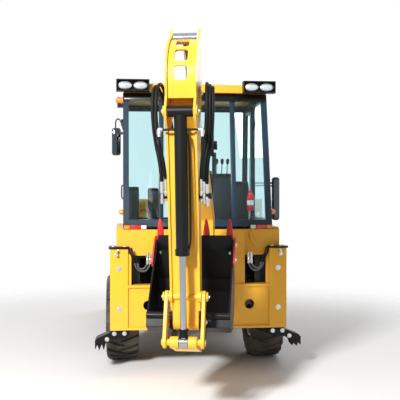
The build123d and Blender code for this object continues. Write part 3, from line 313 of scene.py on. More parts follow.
tooth_sections = [  # beyond the lip, half width, under the floor, above it
    (-0.072, 0.029, 0.001, 0.006), (-0.055, 0.031, 0.001, 0.021), (-0.001, 0.031, 0.000, 0.025),
    (0.007, 0.031, -0.017, 0.025), (0.070, 0.026, -0.013, 0.018), (0.125, 0.018, -0.009, 0.011),
    (0.160, 0.012, -0.006, 0.006), (0.174, 0.007, -0.003, 0.003),
]
floor_lean = Vector((0.154, 0.988))
for place, centre in enumerate((-0.300, -0.100, 0.100, 0.300)):
    mesh = bmesh.new()
    rings = []
    for run, half, under, over in tooth_sections:
        cut = min(half, (over - under) / 2) * 0.35
        ring = []
        for aside, out in (
            (-half, under + cut), (-half, over - cut), (-half + cut, over), (half - cut, over),
            (half, over - cut), (half, under + cut), (half - cut, under), (-half + cut, under),
        ):
            u = lip.x + run * floor_lean.x - out * floor_lean.y
            z = lip.y + run * floor_lean.y + out * floor_lean.x
            ring.append(mesh.verts.new(on_hoe(u, centre + aside, z)))
        rings.append(ring)
    skin(mesh, rings)
    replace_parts(piece(f"tooth_{place}", mesh, red_enamel, "hoe_bucket", 50), "bucket_teeth")

# ---- Bucket's lip plate -------------------------------------------------------------
# A harder plate that doubles the floor behind the teeth, welded along its lower edge and
# held at its ends by bright bolts.
bucket_wall = 0.020
lip_half = bucket_half - bucket_wall
lip_corners = [  # rearward, aside, up
    (0.7435, lip_half, 1.4560), (0.7435, -lip_half, 1.4560),
    (0.7045, -lip_half, 1.2860), (0.7045, lip_half, 1.2860),
]
cut_plate(
    "lip_plate", [on_hoe(*corner) for corner in lip_corners], along_hoe(0.009, 0, -0.002),
    "hoe_bucket", black_enamel,
)
bolts(
    "lip_plate_bolts", [on_hoe(0.7165, side * 0.300, 1.300) for side in (1, -1)],
    along_hoe(1, 0, -0.22), 0.008, "hoe_bucket", zinc,
)

# ---- Pins of the hoe ----------------------------------------------------------------
# Ground steel pins that turn in bushed bores. What shows is the thick keeper disc over each
# end, turned from bar, painted with the plate round it and held by one bolt.


def turned(name, start, end, profile, body, material, sides=28):
    """A lathe-turned piece from start to end; profile is (share of its length, radius)."""
    mesh = bmesh.new()
    start, end = Vector(start), Vector(end)
    turn = Vector((0, 0, 1)).rotation_difference(end - start).to_matrix()
    length = (end - start).length
    rings = []
    for share, radius in profile:
        ring = []
        for step in range(sides):
            angle = 2 * pi * step / sides
            spot = Vector((radius * cos(angle), radius * sin(angle), share * length))
            ring.append(mesh.verts.new(start + turn @ spot))
        rings.append(ring)
    skin(mesh, rings)
    return piece(name, mesh, material, body)


lean = radians(9.5)
bucket_pin = (1.275, 0.805)


def on_dipper(u, aside, z):
    """A point of the upright dipper, where it stands once the dipper leans."""
    du, dz = u - bucket_pin[0], z - bucket_pin[1]
    return on_hoe(
        bucket_pin[0] + du * cos(lean) + dz * sin(lean), aside,
        bucket_pin[1] - du * sin(lean) + dz * cos(lean),
    )


keeper = [(0.0, 1.0), (0.55, 1.0), (0.72, 0.94), (0.74, 0.55), (0.95, 0.52), (1.0, 0.44)]
pin_table = [  # name, place on the upright dipper, outer face, radius, body
    ("dipper_pivot", (1.125, 2.575), 0.117, 0.052, "dipper"),
    ("ram_base", (1.360, 2.456), 0.117, 0.042, "dipper"),
    ("lever_pivot", (1.305, 1.020), 0.165, 0.036, "dipper"),
    ("bucket", bucket_pin, 0.140, 0.038, "dipper"),
]
keeper_thick = 0.016
for name, (u, z), face, radius, body in pin_table:
    for hand, way in hoe_hands:
        turned(
            f"{name}_keeper_{hand}", on_dipper(u, way * face, z),
            on_dipper(u, way * (face + keeper_thick), z),
            [(share, radius * part) for share, part in keeper], body, yellow_enamel,
        )
        bolts(
            f"{name}_keeper_bolt_{hand}",
            [on_dipper(u, way * (face + keeper_thick - 0.0005), z)], along_hoe(0, way, 0),
            radius * 0.26, body, zinc,
        )

# ---- Hoses over the hoe's elbow -----------------------------------------------------
# Two-wire hydraulic hose, black oil-proof rubber with a cloth-marked cover. The hoses leave
# the boom's flanks, loop over its end pin and run down the dipper to crimped couplings.
hose_rubber, hose_shader = new_finish("hose_rubber")
place = add_node(hose_rubber, "ShaderNodeTexCoord").outputs["Object"]
wrap = add_node(
    hose_rubber, "ShaderNodeTexWave", {"wave_type": "BANDS", "bands_direction": "DIAGONAL"},
    Vector=place, Scale=70.0, Distortion=0.6,
)
bump = add_node(
    hose_rubber, "ShaderNodeBump", Strength=0.35, Distance=0.0008, Height=wrap.outputs[1]
)
connect(hose_rubber, bump.outputs[0], hose_shader.inputs["Normal"])
hose_shader.inputs["Base Color"].default_value = tint("#08090A")
hose_shader.inputs["Roughness"].default_value = 0.55
hose_shader.inputs["Specular IOR Level"].default_value = 0.2


def hose(name, route, radius, body, material):
    """A round hose along a smooth line through its control points, as a mesh."""
    curve = bpy.data.curves.new(name, "CURVE")
    curve.dimensions = "3D"
    curve.resolution_u = 8
    curve.bevel_depth = radius
    curve.bevel_resolution = 3
    curve.use_fill_caps = True
    line = curve.splines.new("NURBS")
    line.points.add(len(route) - 1)
    for point, spot in zip(line.points, route):
        point.co = (*spot, 1)
    line.order_u = 3
    line.use_endpoint_u = True
    drawn = bpy.data.objects.new(f"{name}_route", curve)
    bpy.context.collection.objects.link(drawn)
    bpy.context.view_layer.update()
    data = bpy.data.meshes.new_from_object(drawn)
    bpy.data.objects.remove(drawn)
    data.name = name
    data.materials.clear()
    data.materials.append(material)
    for face in data.polygons:
        face.use_smooth = True
    made = bpy.data.objects.new(name, data)
    bpy.context.collection.objects.link(made)
    if body:
        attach(made, body)
    return made


ferrule = [
    (0.0, 0.70), (0.06, 0.95), (0.10, 1.0), (0.16, 1.0), (0.17, 0.93), (0.22, 1.0), (0.30, 1.0),
    (0.31, 0.93), (0.36, 1.0), (0.46, 1.0), (0.50, 0.80), (0.56, 0.80), (0.58, 1.25),
    (0.76, 1.25), (0.78, 0.92), (1.0, 0.86),
]
elbow_table = [  # hand, its way, how many hoses, their spacing, how far the loop stands out
    ("left", 1, 2, 0.030, 0.062),
    ("right", -1, 3, 0.022, 0.050),
]
hose_radius = 0.0135
strand_pitch = 0.03
coupling_z, coupling_step = 1.92, 0.02
for hand, way, count, spacing, bulge in elbow_table:
    for strand in range(count):
        out = 0.135 + spacing * strand
        low = coupling_z - coupling_step * strand
        route = [
            on_hoe(0.98 + 0.03 * strand, way * out, 2.20 - 0.04 * strand),
            on_hoe(1.10 + 0.02 * strand, way * (out + 0.01), 2.36),
            on_hoe(1.22 + 0.01 * strand, way * (out + bulge * 0.4), 2.55),
            on_hoe(1.40, way * (out + bulge * 0.8), 2.68 - 0.02 * strand),
            on_hoe(1.54 - 0.02 * strand, way * (out + bulge), 2.58),
            on_hoe(1.55 - 0.02 * strand, way * (out + bulge), 2.38),
            on_hoe(1.51 - 0.02 * strand, way * (out + bulge * 0.7), 2.18),
            on_dipper(1.30, way * (out + 0.006), 2.06),
            on_dipper(1.28, way * out, low),
        ]
        loop = hose(f"elbow_hose_{hand}_{strand}", route, hose_radius, None, hose_rubber)
        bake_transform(loop)
        turned(
            f"elbow_coupling_{hand}_{strand}", on_dipper(1.28, way * out, low + 0.03),
            on_dipper(1.28, way * out, low - 0.15), [(s, 0.0165 * r) for s, r in ferrule],
            "dipper", zinc,
        )
    cut_plate(
        f"coupling_clamp_{hand}",
        [on_dipper(u, way * 0.117, z) for u, z in (
            (1.262, 1.79), (1.298, 1.79), (1.298, 1.83), (1.262, 1.83))],
        along_hoe(0, way * (strand_pitch * count + 0.008), 0), "dipper", black_enamel,
        0.004,
    )
    cut_plate(
        f"hose_clamp_{hand}",
        [on_hoe(u, way * 0.120, z) for u, z in (
            (0.965, 2.20), (0.995, 2.17), (1.040, 2.215), (1.010, 2.245))],
        along_hoe(0, way * (strand_pitch * count + 0.006), 0), "boom", black_enamel,
        0.004,
    )

# ---- Bucket ram's ports and pipes ---------------------------------------------------
# Cold-drawn steel pipes brazed to the barrel's ports, black enamelled, with bright elbows
# from which short hoses drop to the couplings on the dipper's sides.
ram_top, ram_low = Vector((1.631, 2.419)), Vector((1.451, 0.677))
ram_run = (ram_low - ram_top).normalized()
port = ram_top + ram_run * 0.135
gland = ram_top + ram_run * 1.04
for hand, way, drop in (("left", 1, 0.30), ("right", -1, 0.34)):
    u, z = port
    hose(
        f"port_pipe_{hand}",
        [on_hoe(u, way * 0.040, z), on_hoe(u, way * 0.090, z), on_hoe(u, way * 0.150, z)],
        0.009, "bucket_barrel", black_enamel,
    )
    turned(
        f"port_elbow_{hand}", on_hoe(u, way * 0.135, z), on_hoe(u, way * 0.172, z),
        [(0, 0.013), (0.3, 0.015), (0.32, 0.018), (0.75, 0.018), (0.8, 0.013), (1, 0.010)],
        "bucket_barrel", zinc,
    )
    turned(
        f"port_nut_{hand}", on_hoe(u, way * 0.160, z + 0.014), on_hoe(u, way * 0.160, z - 0.052),
        [(0, 0.010), (0.2, 0.013), (0.25, 0.018), (0.7, 0.018), (0.75, 0.014), (1, 0.014)],
        "bucket_barrel", zinc,
    )
    hose(
        f"port_hose_{hand}",
        [on_hoe(u, way * 0.160, z - 0.045), on_hoe(u, way * 0.162, z - 0.12),
         on_hoe(u - 0.02, way * 0.160, z - drop * 0.7), on_hoe(u - 0.06, way * 0.150, z - drop)],
        0.0105, "bucket_barrel", hose_rubber,
    )
gland_route = [  # place in the hoe's plane, how far off it to the right
    (port + Vector((0, -0.03)), 0.052), (port + Vector((0, -0.09)), 0.066),
    (port + ram_run * 0.3, 0.066), (gland - ram_run * 0.15, 0.066),
    (gland - ram_run * 0.04, 0.062), (gland, 0.045),
]
hose(
    "gland_pipe", [on_hoe(spot.x, -off, spot.y) for spot, off in gland_route], 0.008,
    "bucket_barrel", black_enamel,
)

# ---- Rods ---------------------------------------------------------------------------
# Steel bar, hard-chromed and ground, so that the seals slide on it: nearly a mirror, with a
# faint lengthwise haze of oil.
chrome, chrome_shader = new_finish("hard_chrome")
chrome_shader.inputs["Base Color"].default_value = tint("#A4A8AC")
chrome_shader.inputs["Metallic"].default_value = 1.0
oil = add_node(chrome, "ShaderNodeTexNoise", Scale=40.0, Detail=2.0)
film = add_node(
    chrome, "ShaderNodeMapRange", Value=oil.outputs[0], i1=0.3, i2=0.8, i3=0.10, i4=0.24
)
connect(chrome, film.outputs[0], chrome_shader.inputs["Roughness"])
finish(chrome, "boom_rod", "crowd_rod", "bucket_rod", "lift_rods", "tilt_rods")

# ---- Rod eye of the bucket ram ------------------------------------------------------
# A forged eye screwed on to the rod and locked, in black enamel, as thick as the gap that
# it turns in.
low_rod = ram_low - ram_run * 0.045
high_rod = ram_low - ram_run * 0.108
turned(
    "bucket_rod_eye", on_hoe(high_rod.x, 0, high_rod.y), on_hoe(low_rod.x, 0, low_rod.y),
    [(0, 0.030), (0.08, 0.038), (0.35, 0.038), (0.42, 0.031), (1, 0.036)], "bucket_rod",
    black_enamel,
)

# ---- Rear frame's fasteners and column caps -----------------------------------------
# Black pressed caps close the columns, two bolts each. Heavy bolts hold the slide pads, and
# small bright fittings stand where the stabilisers' hoses come through.
hands = (("left", -1), ("right", 1))  # hand, and which way it lies from the machine's middle
column_inner, column_outer = 0.724, 0.903
rear_y = -1.052
cap_z, cap_low, cap_thick = 1.273, 1.2535, 0.022
fitting_x, fitting_z = 0.838, 1.195
for hand, way in hands:
    low_x, high_x = column_inner - 0.014, column_outer + 0.014
    cut_plate(
        f"column_cap_{hand}",
        [(way * low_x, rear_y - 0.015, cap_low), (way * high_x, rear_y - 0.015, cap_low),
         (way * high_x, rear_y + 0.174, cap_low), (way * low_x, rear_y + 0.174, cap_low)],
        (0, 0, cap_thick), "machine", black_enamel, 0.003,
    )
    bolts(
        f"column_cap_bolts_{hand}",
        [(way * x, rear_y + 0.03, cap_z + 0.002) for x in (0.755, 0.872)], (0, 0, 1), 0.012,
        "machine", zinc,
    )
    bolts(
        f"slide_pad_bolts_{hand}", [(way * 0.815, rear_y, 0.645), (way * 0.815, rear_y, 1.05)],
        (0, -1, 0), 0.016, "machine", zinc,
    )
    turned(
        f"column_elbow_{hand}", (way * fitting_x, rear_y, fitting_z),
        (way * fitting_x, rear_y - 0.040, fitting_z),
        [(0, 0.020), (0.35, 0.020), (0.4, 0.014), (0.6, 0.014), (0.65, 0.018), (1, 0.016)],
        "machine", zinc,
    )
    hose(
        f"column_pipe_{hand}",
        [(way * fitting_x, rear_y - 0.030, fitting_z), (way * 0.845, rear_y - 0.036, 1.225),
         (way * 0.820, rear_y - 0.036, 1.245)], 0.010, "machine", zinc,
    )
    bolts(
        f"channel_bolt_{hand}", [(way * 0.338, rear_y - 0.008, 0.940)], (0, -1, 0), 0.014,
        "machine", zinc,
    )
cut_plate(
    "stop_bracket",
    [(0.300, rear_y + 0.020, 0.745), (0.345, rear_y + 0.020, 0.745),
     (0.362, rear_y + 0.020, 0.690), (0.330, rear_y + 0.020, 0.665),
     (0.300, rear_y + 0.020, 0.680)],
    (0, -0.035, 0), "machine", black_enamel, 0.004,
)
bolts("stop_bracket_bolt", [(0.335, rear_y - 0.015, 0.705)], (0, -1, 0), 0.010, "machine", zinc)

# ---- Stabiliser hoses ---------------------------------------------------------------
# A pair of hoses a side drops from the columns' heads and turns back up to the fittings
# beside the middle casting. The lower turn is in a braided steel cover.
braid, braid_shader = new_finish("steel_braid")
place = add_node(braid, "ShaderNodeTexCoord").outputs["Object"]
weave = add_node(
    braid, "ShaderNodeTexWave", {"wave_type": "BANDS", "bands_direction": "DIAGONAL"},
    Vector=place, Scale=120.0, Distortion=1.2,
)
bump = add_node(braid, "ShaderNodeBump", Strength=0.6, Distance=0.001, Height=weave.outputs[1])
connect(braid, bump.outputs[0], braid_shader.inputs["Normal"])
braid_shader.inputs["Base Color"].default_value = tint("#5B5F63")
braid_shader.inputs["Metallic"].default_value = 0.8
braid_shader.inputs["Roughness"].default_value = 0.42
for hand, way in hands:
    for strand, shift in enumerate((0.0, 0.026)):
        front = rear_y - 0.022 - shift * 0.5
        hose(
            f"stabiliser_hose_{hand}_{strand}",
            [(way * (0.716 - shift), front + 0.03, 1.262), (way * (0.705 - shift), front, 1.215),
             (way * (0.672 - shift), front, 1.165), (way * (0.655 - shift), front, 1.110)],
            0.0095, "machine", hose_rubber,
        )
        hose(
            f"stabiliser_loop_{hand}_{strand}",
            [(way * (0.655 - shift), front, 1.112), (way * (0.645 - shift), front, 1.060),
             (way * 0.590, front, 1.022 + shift), (way * (0.525 + shift), front, 1.040 + shift),
             (way * (0.505 + shift), front, 1.105)],
            0.0100, "machine", braid,
        )
        turned(
            f"stabiliser_union_{hand}_{strand}",
            (way * (0.505 + shift), front, 1.100), (way * (0.500 + shift), front, 1.215),
            [(s, 0.0145 * r) for s, r in ferrule], "machine", zinc,
        )
cut_plate(
    "tie_hook",
    [(0.520, rear_y + 0.05, 1.425), (0.545, rear_y + 0.05, 1.425), (0.558, rear_y + 0.05, 1.340),
     (0.600, rear_y + 0.05, 1.290), (0.590, rear_y + 0.05, 1.268), (0.535, rear_y + 0.05, 1.325)],
    (0, -0.028, 0), "machine", yellow_enamel, 0.004,
)

# ---- Feet ---------------------------------------------------------------------------
# Cast claws in black enamel under the sliding legs, each held by three heavy bolts whose
# zinc plating stays bright.
for hand, way in hands:
    bolts(
        f"foot_bolts_{hand}",
        [(way * x, rear_y + 0.0045, 0.400) for x in (0.760, 0.862)]
        + [(way * 0.935, rear_y + 0.0045, 0.345)],
        (0, -1, 0), 0.013, f"leg_{hand}", zinc,
    )

# ---- Tyres --------------------------------------------------------------------------
# Moulded carbon-black rubber with slanted bars that meet in a herringbone. It is matt, and
# pale dust sits on the bars' shoulders.
rubber, rubber_shader = new_finish("tyre_rubber")
place = add_node(rubber, "ShaderNodeTexCoord").outputs["Object"]
patch = add_node(rubber, "ShaderNodeTexNoise", Vector=place, Scale=5.0, Detail=6.0)
dust = add_node(
    rubber, "ShaderNodeMapRange", Value=patch.outputs[0], i1=0.40, i2=0.7, i3=0.1, i4=0.8
)
mixed = add_node(
    rubber, "ShaderNodeMix", {"data_type": "RGBA"},
    Factor=dust.outputs[0], i6=tint("#2B2927"), i7=tint("#6E675C"),
)
connect(rubber, mixed.outputs[2], rubber_shader.inputs["Base Color"])
rubber_shader.inputs["Roughness"].default_value = 0.82
grit = add_node(rubber, "ShaderNodeTexNoise", Vector=place, Scale=220.0, Detail=3.0)
bump = add_node(
    rubber, "ShaderNodeBump", Strength=0.25, Distance=0.001, Height=grit.outputs[0]
)
connect(rubber, bump.outputs[0], rubber_shader.inputs["Normal"])

tyre_profile = [  # across, out from the axle; one half, from the tread's middle to the bead
    (0.0, 0.434), (0.060, 0.433), (0.120, 0.429), (0.150, 0.420), (0.166, 0.405),
    (0.172, 0.385), (0.1745, 0.355), (0.1745, 0.330), (0.171, 0.305), (0.163, 0.283),
    (0.166, 0.276), (0.158, 0.262), (0.146, 0.246), (0.134, 0.236), (0.132, 0.2225),
]
lug_stations = [  # across, turn in degrees, half width, foot radius, top radius
    (-0.016, -4.0, 0.016, 0.425, 0.456), (0.040, -2.4, 0.018, 0.425, 0.4595),
    (0.095, 0.4, 0.020, 0.422, 0.4580), (0.140, 2.6, 0.022, 0.410, 0.4530),
    (0.164, 3.4, 0.022, 0.392, 0.4400), (0.1735, 3.6, 0.021, 0.372, 0.3880),
]
lugs = 22
tyre_steps = 88


def tyre(name, centre, body):
    """A tyre: a turned casing, and bars swept from its middle to each shoulder."""
    mesh = bmesh.new()
    half = tyre_profile
    profile = [(-x, r) for x, r in reversed(half)] + half[1:]
    rings = []
    for step in range(tyre_steps):
        angle = 2 * pi * step / tyre_steps
        rings.append([mesh.verts.new((x, r * sin(angle), r * cos(angle))) for x, r in profile])
    for step in range(tyre_steps):
        here, after = rings[step], rings[(step + 1) % tyre_steps]
        for place in range(len(profile) - 1):
            mesh.faces.new((here[place], here[place + 1], after[place + 1], after[place]))
    for row, side in enumerate((1, -1)):
        for lug in range(lugs):
            around = 360 / lugs * (lug + row / 2)
            sections = []
            for x, turn, wide, foot, top in lug_stations:
                section = []
                for offset, radius in ((-wide, foot), (-wide * 0.8, top), (wide * 0.8, top),
                                       (wide, foot)):
                    angle = radians(around + turn) + offset / radius
                    section.append(mesh.verts.new(
                        (side * x, radius * sin(angle), radius * cos(angle))
                    ))
                sections.append(section)
            for low, high in zip(sections, sections[1:]):
                for place in range(3):
                    mesh.faces.new((low[place], low[place + 1], high[place + 1], high[place]))
            mesh.faces.new(sections[0])
            mesh.faces.new(sections[-1])
    bmesh.ops.translate(mesh, verts=mesh.verts, vec=centre)
    return piece(name, mesh, rubber, body, 30)


wheels = ("rear_left", "rear_right", "front_left", "front_right")
for wheel in wheels:
    low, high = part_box(f"tyre_{wheel}")
    middle = [(a + b) / 2 for a, b in zip(low, high)]
    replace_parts(tyre(f"{wheel}_tyre", middle, f"wheel_{wheel}"), f"tyre_{wheel}")

# ---- Rims ---------------------------------------------------------------------------
# Rolled steel rims welded to pressed discs, in off-white enamel. Eight nuts hold each to its
# hub, whose drawn black cap stands through the disc.
rim_enamel = enamel("rim_enamel", "#E8E4D6", "#A39B88", 0.40)
half_track, cap_out, nuts_out, nut_circle, nut_count = 0.778, 0.097, 0.057, 0.107, 8
finish(rim_enamel, *(f"rim_{wheel}" for wheel in wheels))
for wheel in wheels:
    low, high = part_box(f"rim_{wheel}")
    middle = [(a + b) / 2 for a, b in zip(low, high)]
    way = 1 if middle[0] > 0 else -1
    hub_x = way * (half_track + cap_out)
    turned(
        f"hub_cap_{wheel}", (hub_x, middle[1], middle[2]),
        (hub_x + way * 0.030, middle[1], middle[2]),
        [(0, 0.050), (0.45, 0.050), (0.75, 0.044), (0.95, 0.026), (1, 0.008)],
        f"wheel_{wheel}", black_enamel,
    )
    nuts = [
        (way * (half_track + nuts_out), middle[1] + nut_circle * cos(2 * pi / nut_count * step),
         middle[2] + nut_circle * sin(2 * pi / nut_count * step))
        for step in range(nut_count)
    ]
    bolts(f"wheel_nuts_{wheel}", nuts, (way, 0, 0), 0.011, f"wheel_{wheel}", zinc)

# ---- Cab and doors ------------------------------------------------------------------
# Rolled-section frame and door frames in dark slate enamel, smooth and fairly glossy, with
# black bonded borders, two sashes in the rear light, and pull handles on the doors.
slate_enamel = enamel("slate_enamel", "#11293B", "#263A47", 0.30, gloss=0.15)
finish(slate_enamel, "cab_frame", "door_left", "door_right")
cab_rear, belt, roof = -0.967, 1.465, 2.885
rear_lean = 0.330


def on_rear(x, z, out=0.0):
    """A point on the cab's leaning rear face."""
    return (x, cab_rear + rear_lean * (z - belt) / (roof - belt) - out, z)


sash_table = [  # name, lower x, upper x, width
    ("left", -0.385, -0.365, 0.050),
    ("right", 0.375, 0.395, 0.052),
]
for name, low_x, high_x, width in sash_table:
    cut_plate(
        f"rear_sash_{name}",
        [on_rear(low_x - width / 2, 1.545), on_rear(low_x + width / 2, 1.545),
         on_rear(high_x + width / 2, 2.815), on_rear(high_x - width / 2, 2.815)],
        (0, 0.030, 0), "machine", slate_enamel, 0.004,
    )
cut_plate(
    "header_rail", [on_rear(-0.760, 2.800, 0.012), on_rear(0.760, 2.800, 0.012),
                    on_rear(0.760, 2.878, 0.012), on_rear(-0.760, 2.878, 0.012)],
    (0, 0.020, 0), "machine", black_enamel, 0.004,
)
door_face, handle_y = 0.767, 0.135
handle_route = [  # out from the door, up
    (0.0, 1.75), (0.020, 1.755), (0.022, 1.80), (0.022, 1.86), (0.020, 1.905), (0.0, 1.91),
]
for hand, way in hands:
    hose(
        f"door_handle_{hand}",
        [(way * (door_face + out), handle_y, z) for out, z in handle_route], 0.008,
        f"door_{hand}", black_enamel,
    )

# ---- Panes --------------------------------------------------------------------------
# Tempered safety glass, 6 mm, set in rubber or bonded to the frame. It is pale blue-green in
# its body, and its surface is hard and clean but for a little smear.
pane_glass, pane_shader = new_finish("tempered_glass")
pane_shader.inputs["Base Color"].default_value = tint("#E2F7F9")
pane_shader.inputs["Transmission Weight"].default_value = 1.0
pane_shader.inputs["IOR"].default_value = 1.25
smear = add_node(pane_glass, "ShaderNodeTexNoise", Scale=6.0, Detail=3.0)
haze = add_node(
    pane_glass, "ShaderNodeMapRange", Value=smear.outputs[0], i1=0.4, i2=0.9, i3=0.0, i4=0.05
)
connect(pane_glass, haze.outputs[0], pane_shader.inputs["Roughness"])
finish(pane_glass, "cab_windows", "door_glass_left", "door_glass_right")

# ---- Plastics and trim --------------------------------------------------------------
# Black ABS, injection-moulded in spark-eroded tools, whose fine grain takes the gloss off:
# mirrors, lamp bodies, controls and the seat's pan.


def moulded(name, colour, roughness, grain_mm=1.2):
    """Moulded plastic with a fine grain pressed by its tool."""
    material, shader = new_finish(name)
    place = add_node(material, "ShaderNodeTexCoord").outputs["Object"]
    grain = add_node(
        material, "ShaderNodeTexNoise", Vector=place, Scale=1000 / grain_mm, Detail=2.0
    )
    bump = add_node(
        material, "ShaderNodeBump", Strength=0.15, Distance=0.0004, Height=grain.outputs[0]
    )
    connect(material, bump.outputs[0], shader.inputs["Normal"])
    shader.inputs["Base Color"].default_value = tint(colour)
    shader.inputs["Roughness"].default_value = roughness
    return material


black_plastic = moulded("black_abs", "#0B0E13", 0.5)
finish(black_plastic, "mirrors", "controls", "seat", "tail_lamps")
finish(black_enamel, "work_lamps")

# ---- Work lamps ---------------------------------------------------------------------
# Oval halogen lamps in pairs: a pressed-glass lens with a waffle of small prisms over a
# bright reflector.
pressed_glass, pressed_shader = new_finish("pressed_glass")
place = add_node(pressed_glass, "ShaderNodeTexCoord").outputs["Object"]
prisms = add_node(
    pressed_glass, "ShaderNodeTexVoronoi", {"distance": "CHEBYCHEV"}, Vector=place,
    Scale=75.0, Randomness=0.0,
)
bump = add_node(
    pressed_glass, "ShaderNodeBump", Strength=0.9, Distance=0.003, Height=prisms.outputs[0]
)
connect(pressed_glass, bump.outputs[0], pressed_shader.inputs["Normal"])
pressed_shader.inputs["Base Color"].default_value = tint("#D3DADD")
pressed_shader.inputs["Metallic"].default_value = 0.55
pressed_shader.inputs["Roughness"].default_value = 0.16


def lens(name, centre, facing, wide, tall, rise, body, material):
    """An oval lens that crowns towards facing, +1 or -1 along Y."""
    sides = 40
    mesh = bmesh.new()
    rings = []
    for share in (1.0, 0.985, 0.9, 0.7, 0.45, 0.2):
        crown = rise * (1 - share ** 2) ** 0.5 if share < 1 else -0.012
        rings.append([
            mesh.verts.new((
                centre[0] + wide * share * cos(2 * pi * step / sides),
                centre[1] + facing * crown,
                centre[2] + tall * share * sin(2 * pi * step / sides),
            )) for step in range(sides)
        ])
    skin(mesh, rings)
    return piece(name, mesh, material, body, 60)


housings_low, housings_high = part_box("work_lamps")
lamp_faces = [("rear", housings_low[1], -1), ("front", housings_high[1], 1)]
for end, face_y, facing in lamp_faces:
    for hand, way in hands:
        for place, shift in enumerate((-0.082, 0.082)):
            lens(
                f"lamp_lens_{end}_{hand}_{place}",
                (way * 0.670 + shift, face_y - facing * 0.036, 2.9425), facing, 0.075, 0.043,
                0.020, "machine", pressed_glass,
            )

# ---- Tail lamps ---------------------------------------------------------------------
# Three moulded acrylic lenses a side, amber, red and clear, ribbed inside and clipped to a
# black tray.


def acrylic(name, colour):
    """Tinted acrylic, moulded glossy over an upright rib pattern."""
    material, shader = new_finish(name)
    place = add_node(material, "ShaderNodeTexCoord").outputs["Object"]
    ribs = add_node(
        material, "ShaderNodeTexWave", {"wave_type": "BANDS", "bands_direction": "X"},
        Vector=place, Scale=60.0,
    )
    bump = add_node(
        material, "ShaderNodeBump", Strength=0.3, Distance=0.001, Height=ribs.outputs[1]
    )
    connect(material, bump.outputs[0], shader.inputs["Normal"])
    shader.inputs["Base Color"].default_value = tint(colour)
    shader.inputs["Roughness"].default_value = 0.12
    shader.inputs["Coat Weight"].default_value = 0.6
    return material


amber = acrylic("amber_acrylic", "#F08A1C")
red_lens = acrylic("red_acrylic", "#D21D1D")
clear_lens = acrylic("clear_acrylic", "#E9ECEC")
tail_table = [  # name, inner x, outer x, lens
    ("clear", 0.536, 0.590, clear_lens),
    ("red", 0.594, 0.700, red_lens),
    ("amber", 0.704, 0.762, amber),
]
tray_y, lens_low, lens_high = -0.992, 1.451, 1.489
for hand, way in hands:
    for name, inner, outer, tinted in tail_table:
        cut_plate(
            f"tail_lens_{name}_{hand}",
            [(way * inner, tray_y, lens_low), (way * outer, tray_y, lens_low),
             (way * outer, tray_y, lens_high), (way * inner, tray_y, lens_high)],
            (0, -0.012, 0), "machine", tinted, 0.004,
        )
    turned(
        f"side_lamp_{hand}", (way * 0.772, -0.905, 1.622), (way * 0.812, -0.905, 1.622),
        [(0, 0.030), (0.3, 0.030), (0.35, 0.026), (0.8, 0.025), (1, 0.014)], "machine", amber,
    )
turned(
    "marker_lamp", (-0.772, -0.640, 2.800), (-0.850, -0.640, 2.800),
    [(0, 0.034), (0.3, 0.034), (0.34, 0.030), (0.85, 0.028), (1, 0.016)], "machine", amber,
)

# ---- Mirrors ------------------------------------------------------------------------
# Flat silvered glass pressed into the moulded bodies, which hang on bent tubular arms
# clamped to the cab's pillars.
silvered, silver_shader = new_finish("silvered_glass")
silver_shader.inputs["Base Color"].default_value = tint("#4A5258")
silver_shader.inputs["Metallic"].default_value = 1.0
spots = add_node(silvered, "ShaderNodeTexNoise", Scale=30.0, Detail=2.0)
cloudy = add_node(
    silvered, "ShaderNodeMapRange", Value=spots.outputs[0], i1=0.4, i2=0.8, i3=0.02, i4=0.12
)
connect(silvered, cloudy.outputs[0], silver_shader.inputs["Roughness"])
mirror_table = [  # name, left x, right x, low z, high z, y of the rearward face
    ("left", -0.902, -0.807, 2.297, 2.613, 0.673),
    ("right", 0.992, 1.063, 1.515, 1.985, 0.028),
]
for name, x0, x1, z0, z1, face_y in mirror_table:
    trim = 0.022
    cut_plate(
        f"mirror_glass_{name}",
        [(x0 + trim, face_y, z0), (x1 - trim, face_y, z0), (x1, face_y, z0 + trim),
         (x1, face_y, z1 - trim), (x1 - trim, face_y, z1), (x0 + trim, face_y, z1),
         (x0, face_y, z1 - trim), (x0, face_y, z0 + trim)],
        (0, -0.003, 0), "machine", silvered, 0.001,
    )
hose(
    "mirror_arm_left",
    [(-0.770, 0.640, 2.60), (-0.800, 0.660, 2.72), (-0.840, 0.690, 2.745),
     (-0.868, 0.694, 2.70), (-0.862, 0.694, 2.60)], 0.008, "machine", black_enamel,
)
hose(
    "mirror_arm_right",
    [(0.770, 0.040, 1.90), (0.860, 0.052, 1.91), (0.950, 0.060, 1.905), (0.990, 0.062, 1.90),
     (1.010, 0.058, 1.88)], 0.009, "machine", black_enamel,
)

# ---- Cab furniture ------------------------------------------------------------------
# Moulded consoles beside the seat with the hoe's levers, and a small red extinguisher
# strapped to the rear corner.
console_table = [  # name, x0, x1, y0, y1, top at the rear, top at the front
    ("hoe", 0.190, 0.415, -0.600, -0.420, 2.030, 2.030),
    ("right", 0.420, 0.600, -0.560, -0.100, 1.950, 1.860),
    ("left", -0.735, -0.600, -0.540, -0.100, 1.890, 1.800),
    ("dash", -0.495, -0.375, -0.260, -0.080, 1.880, 1.840),
]
for name, x0, x1, y0, y1, rear_top, front_top in console_table:
    cut_plate(
        f"console_{name}",
        [(x0, y0, 1.180), (x0, y1, 1.180), (x0, y1 - 0.05, front_top), (x0, y0 + 0.06, rear_top),
         (x0, y0 + 0.01, rear_top - 0.06)],
        (x1 - x0, 0, 0), "machine", black_plastic, 0.018,
    )
lever_table = [("outer", 0.360), ("middle", 0.300), ("inner", 0.240)]
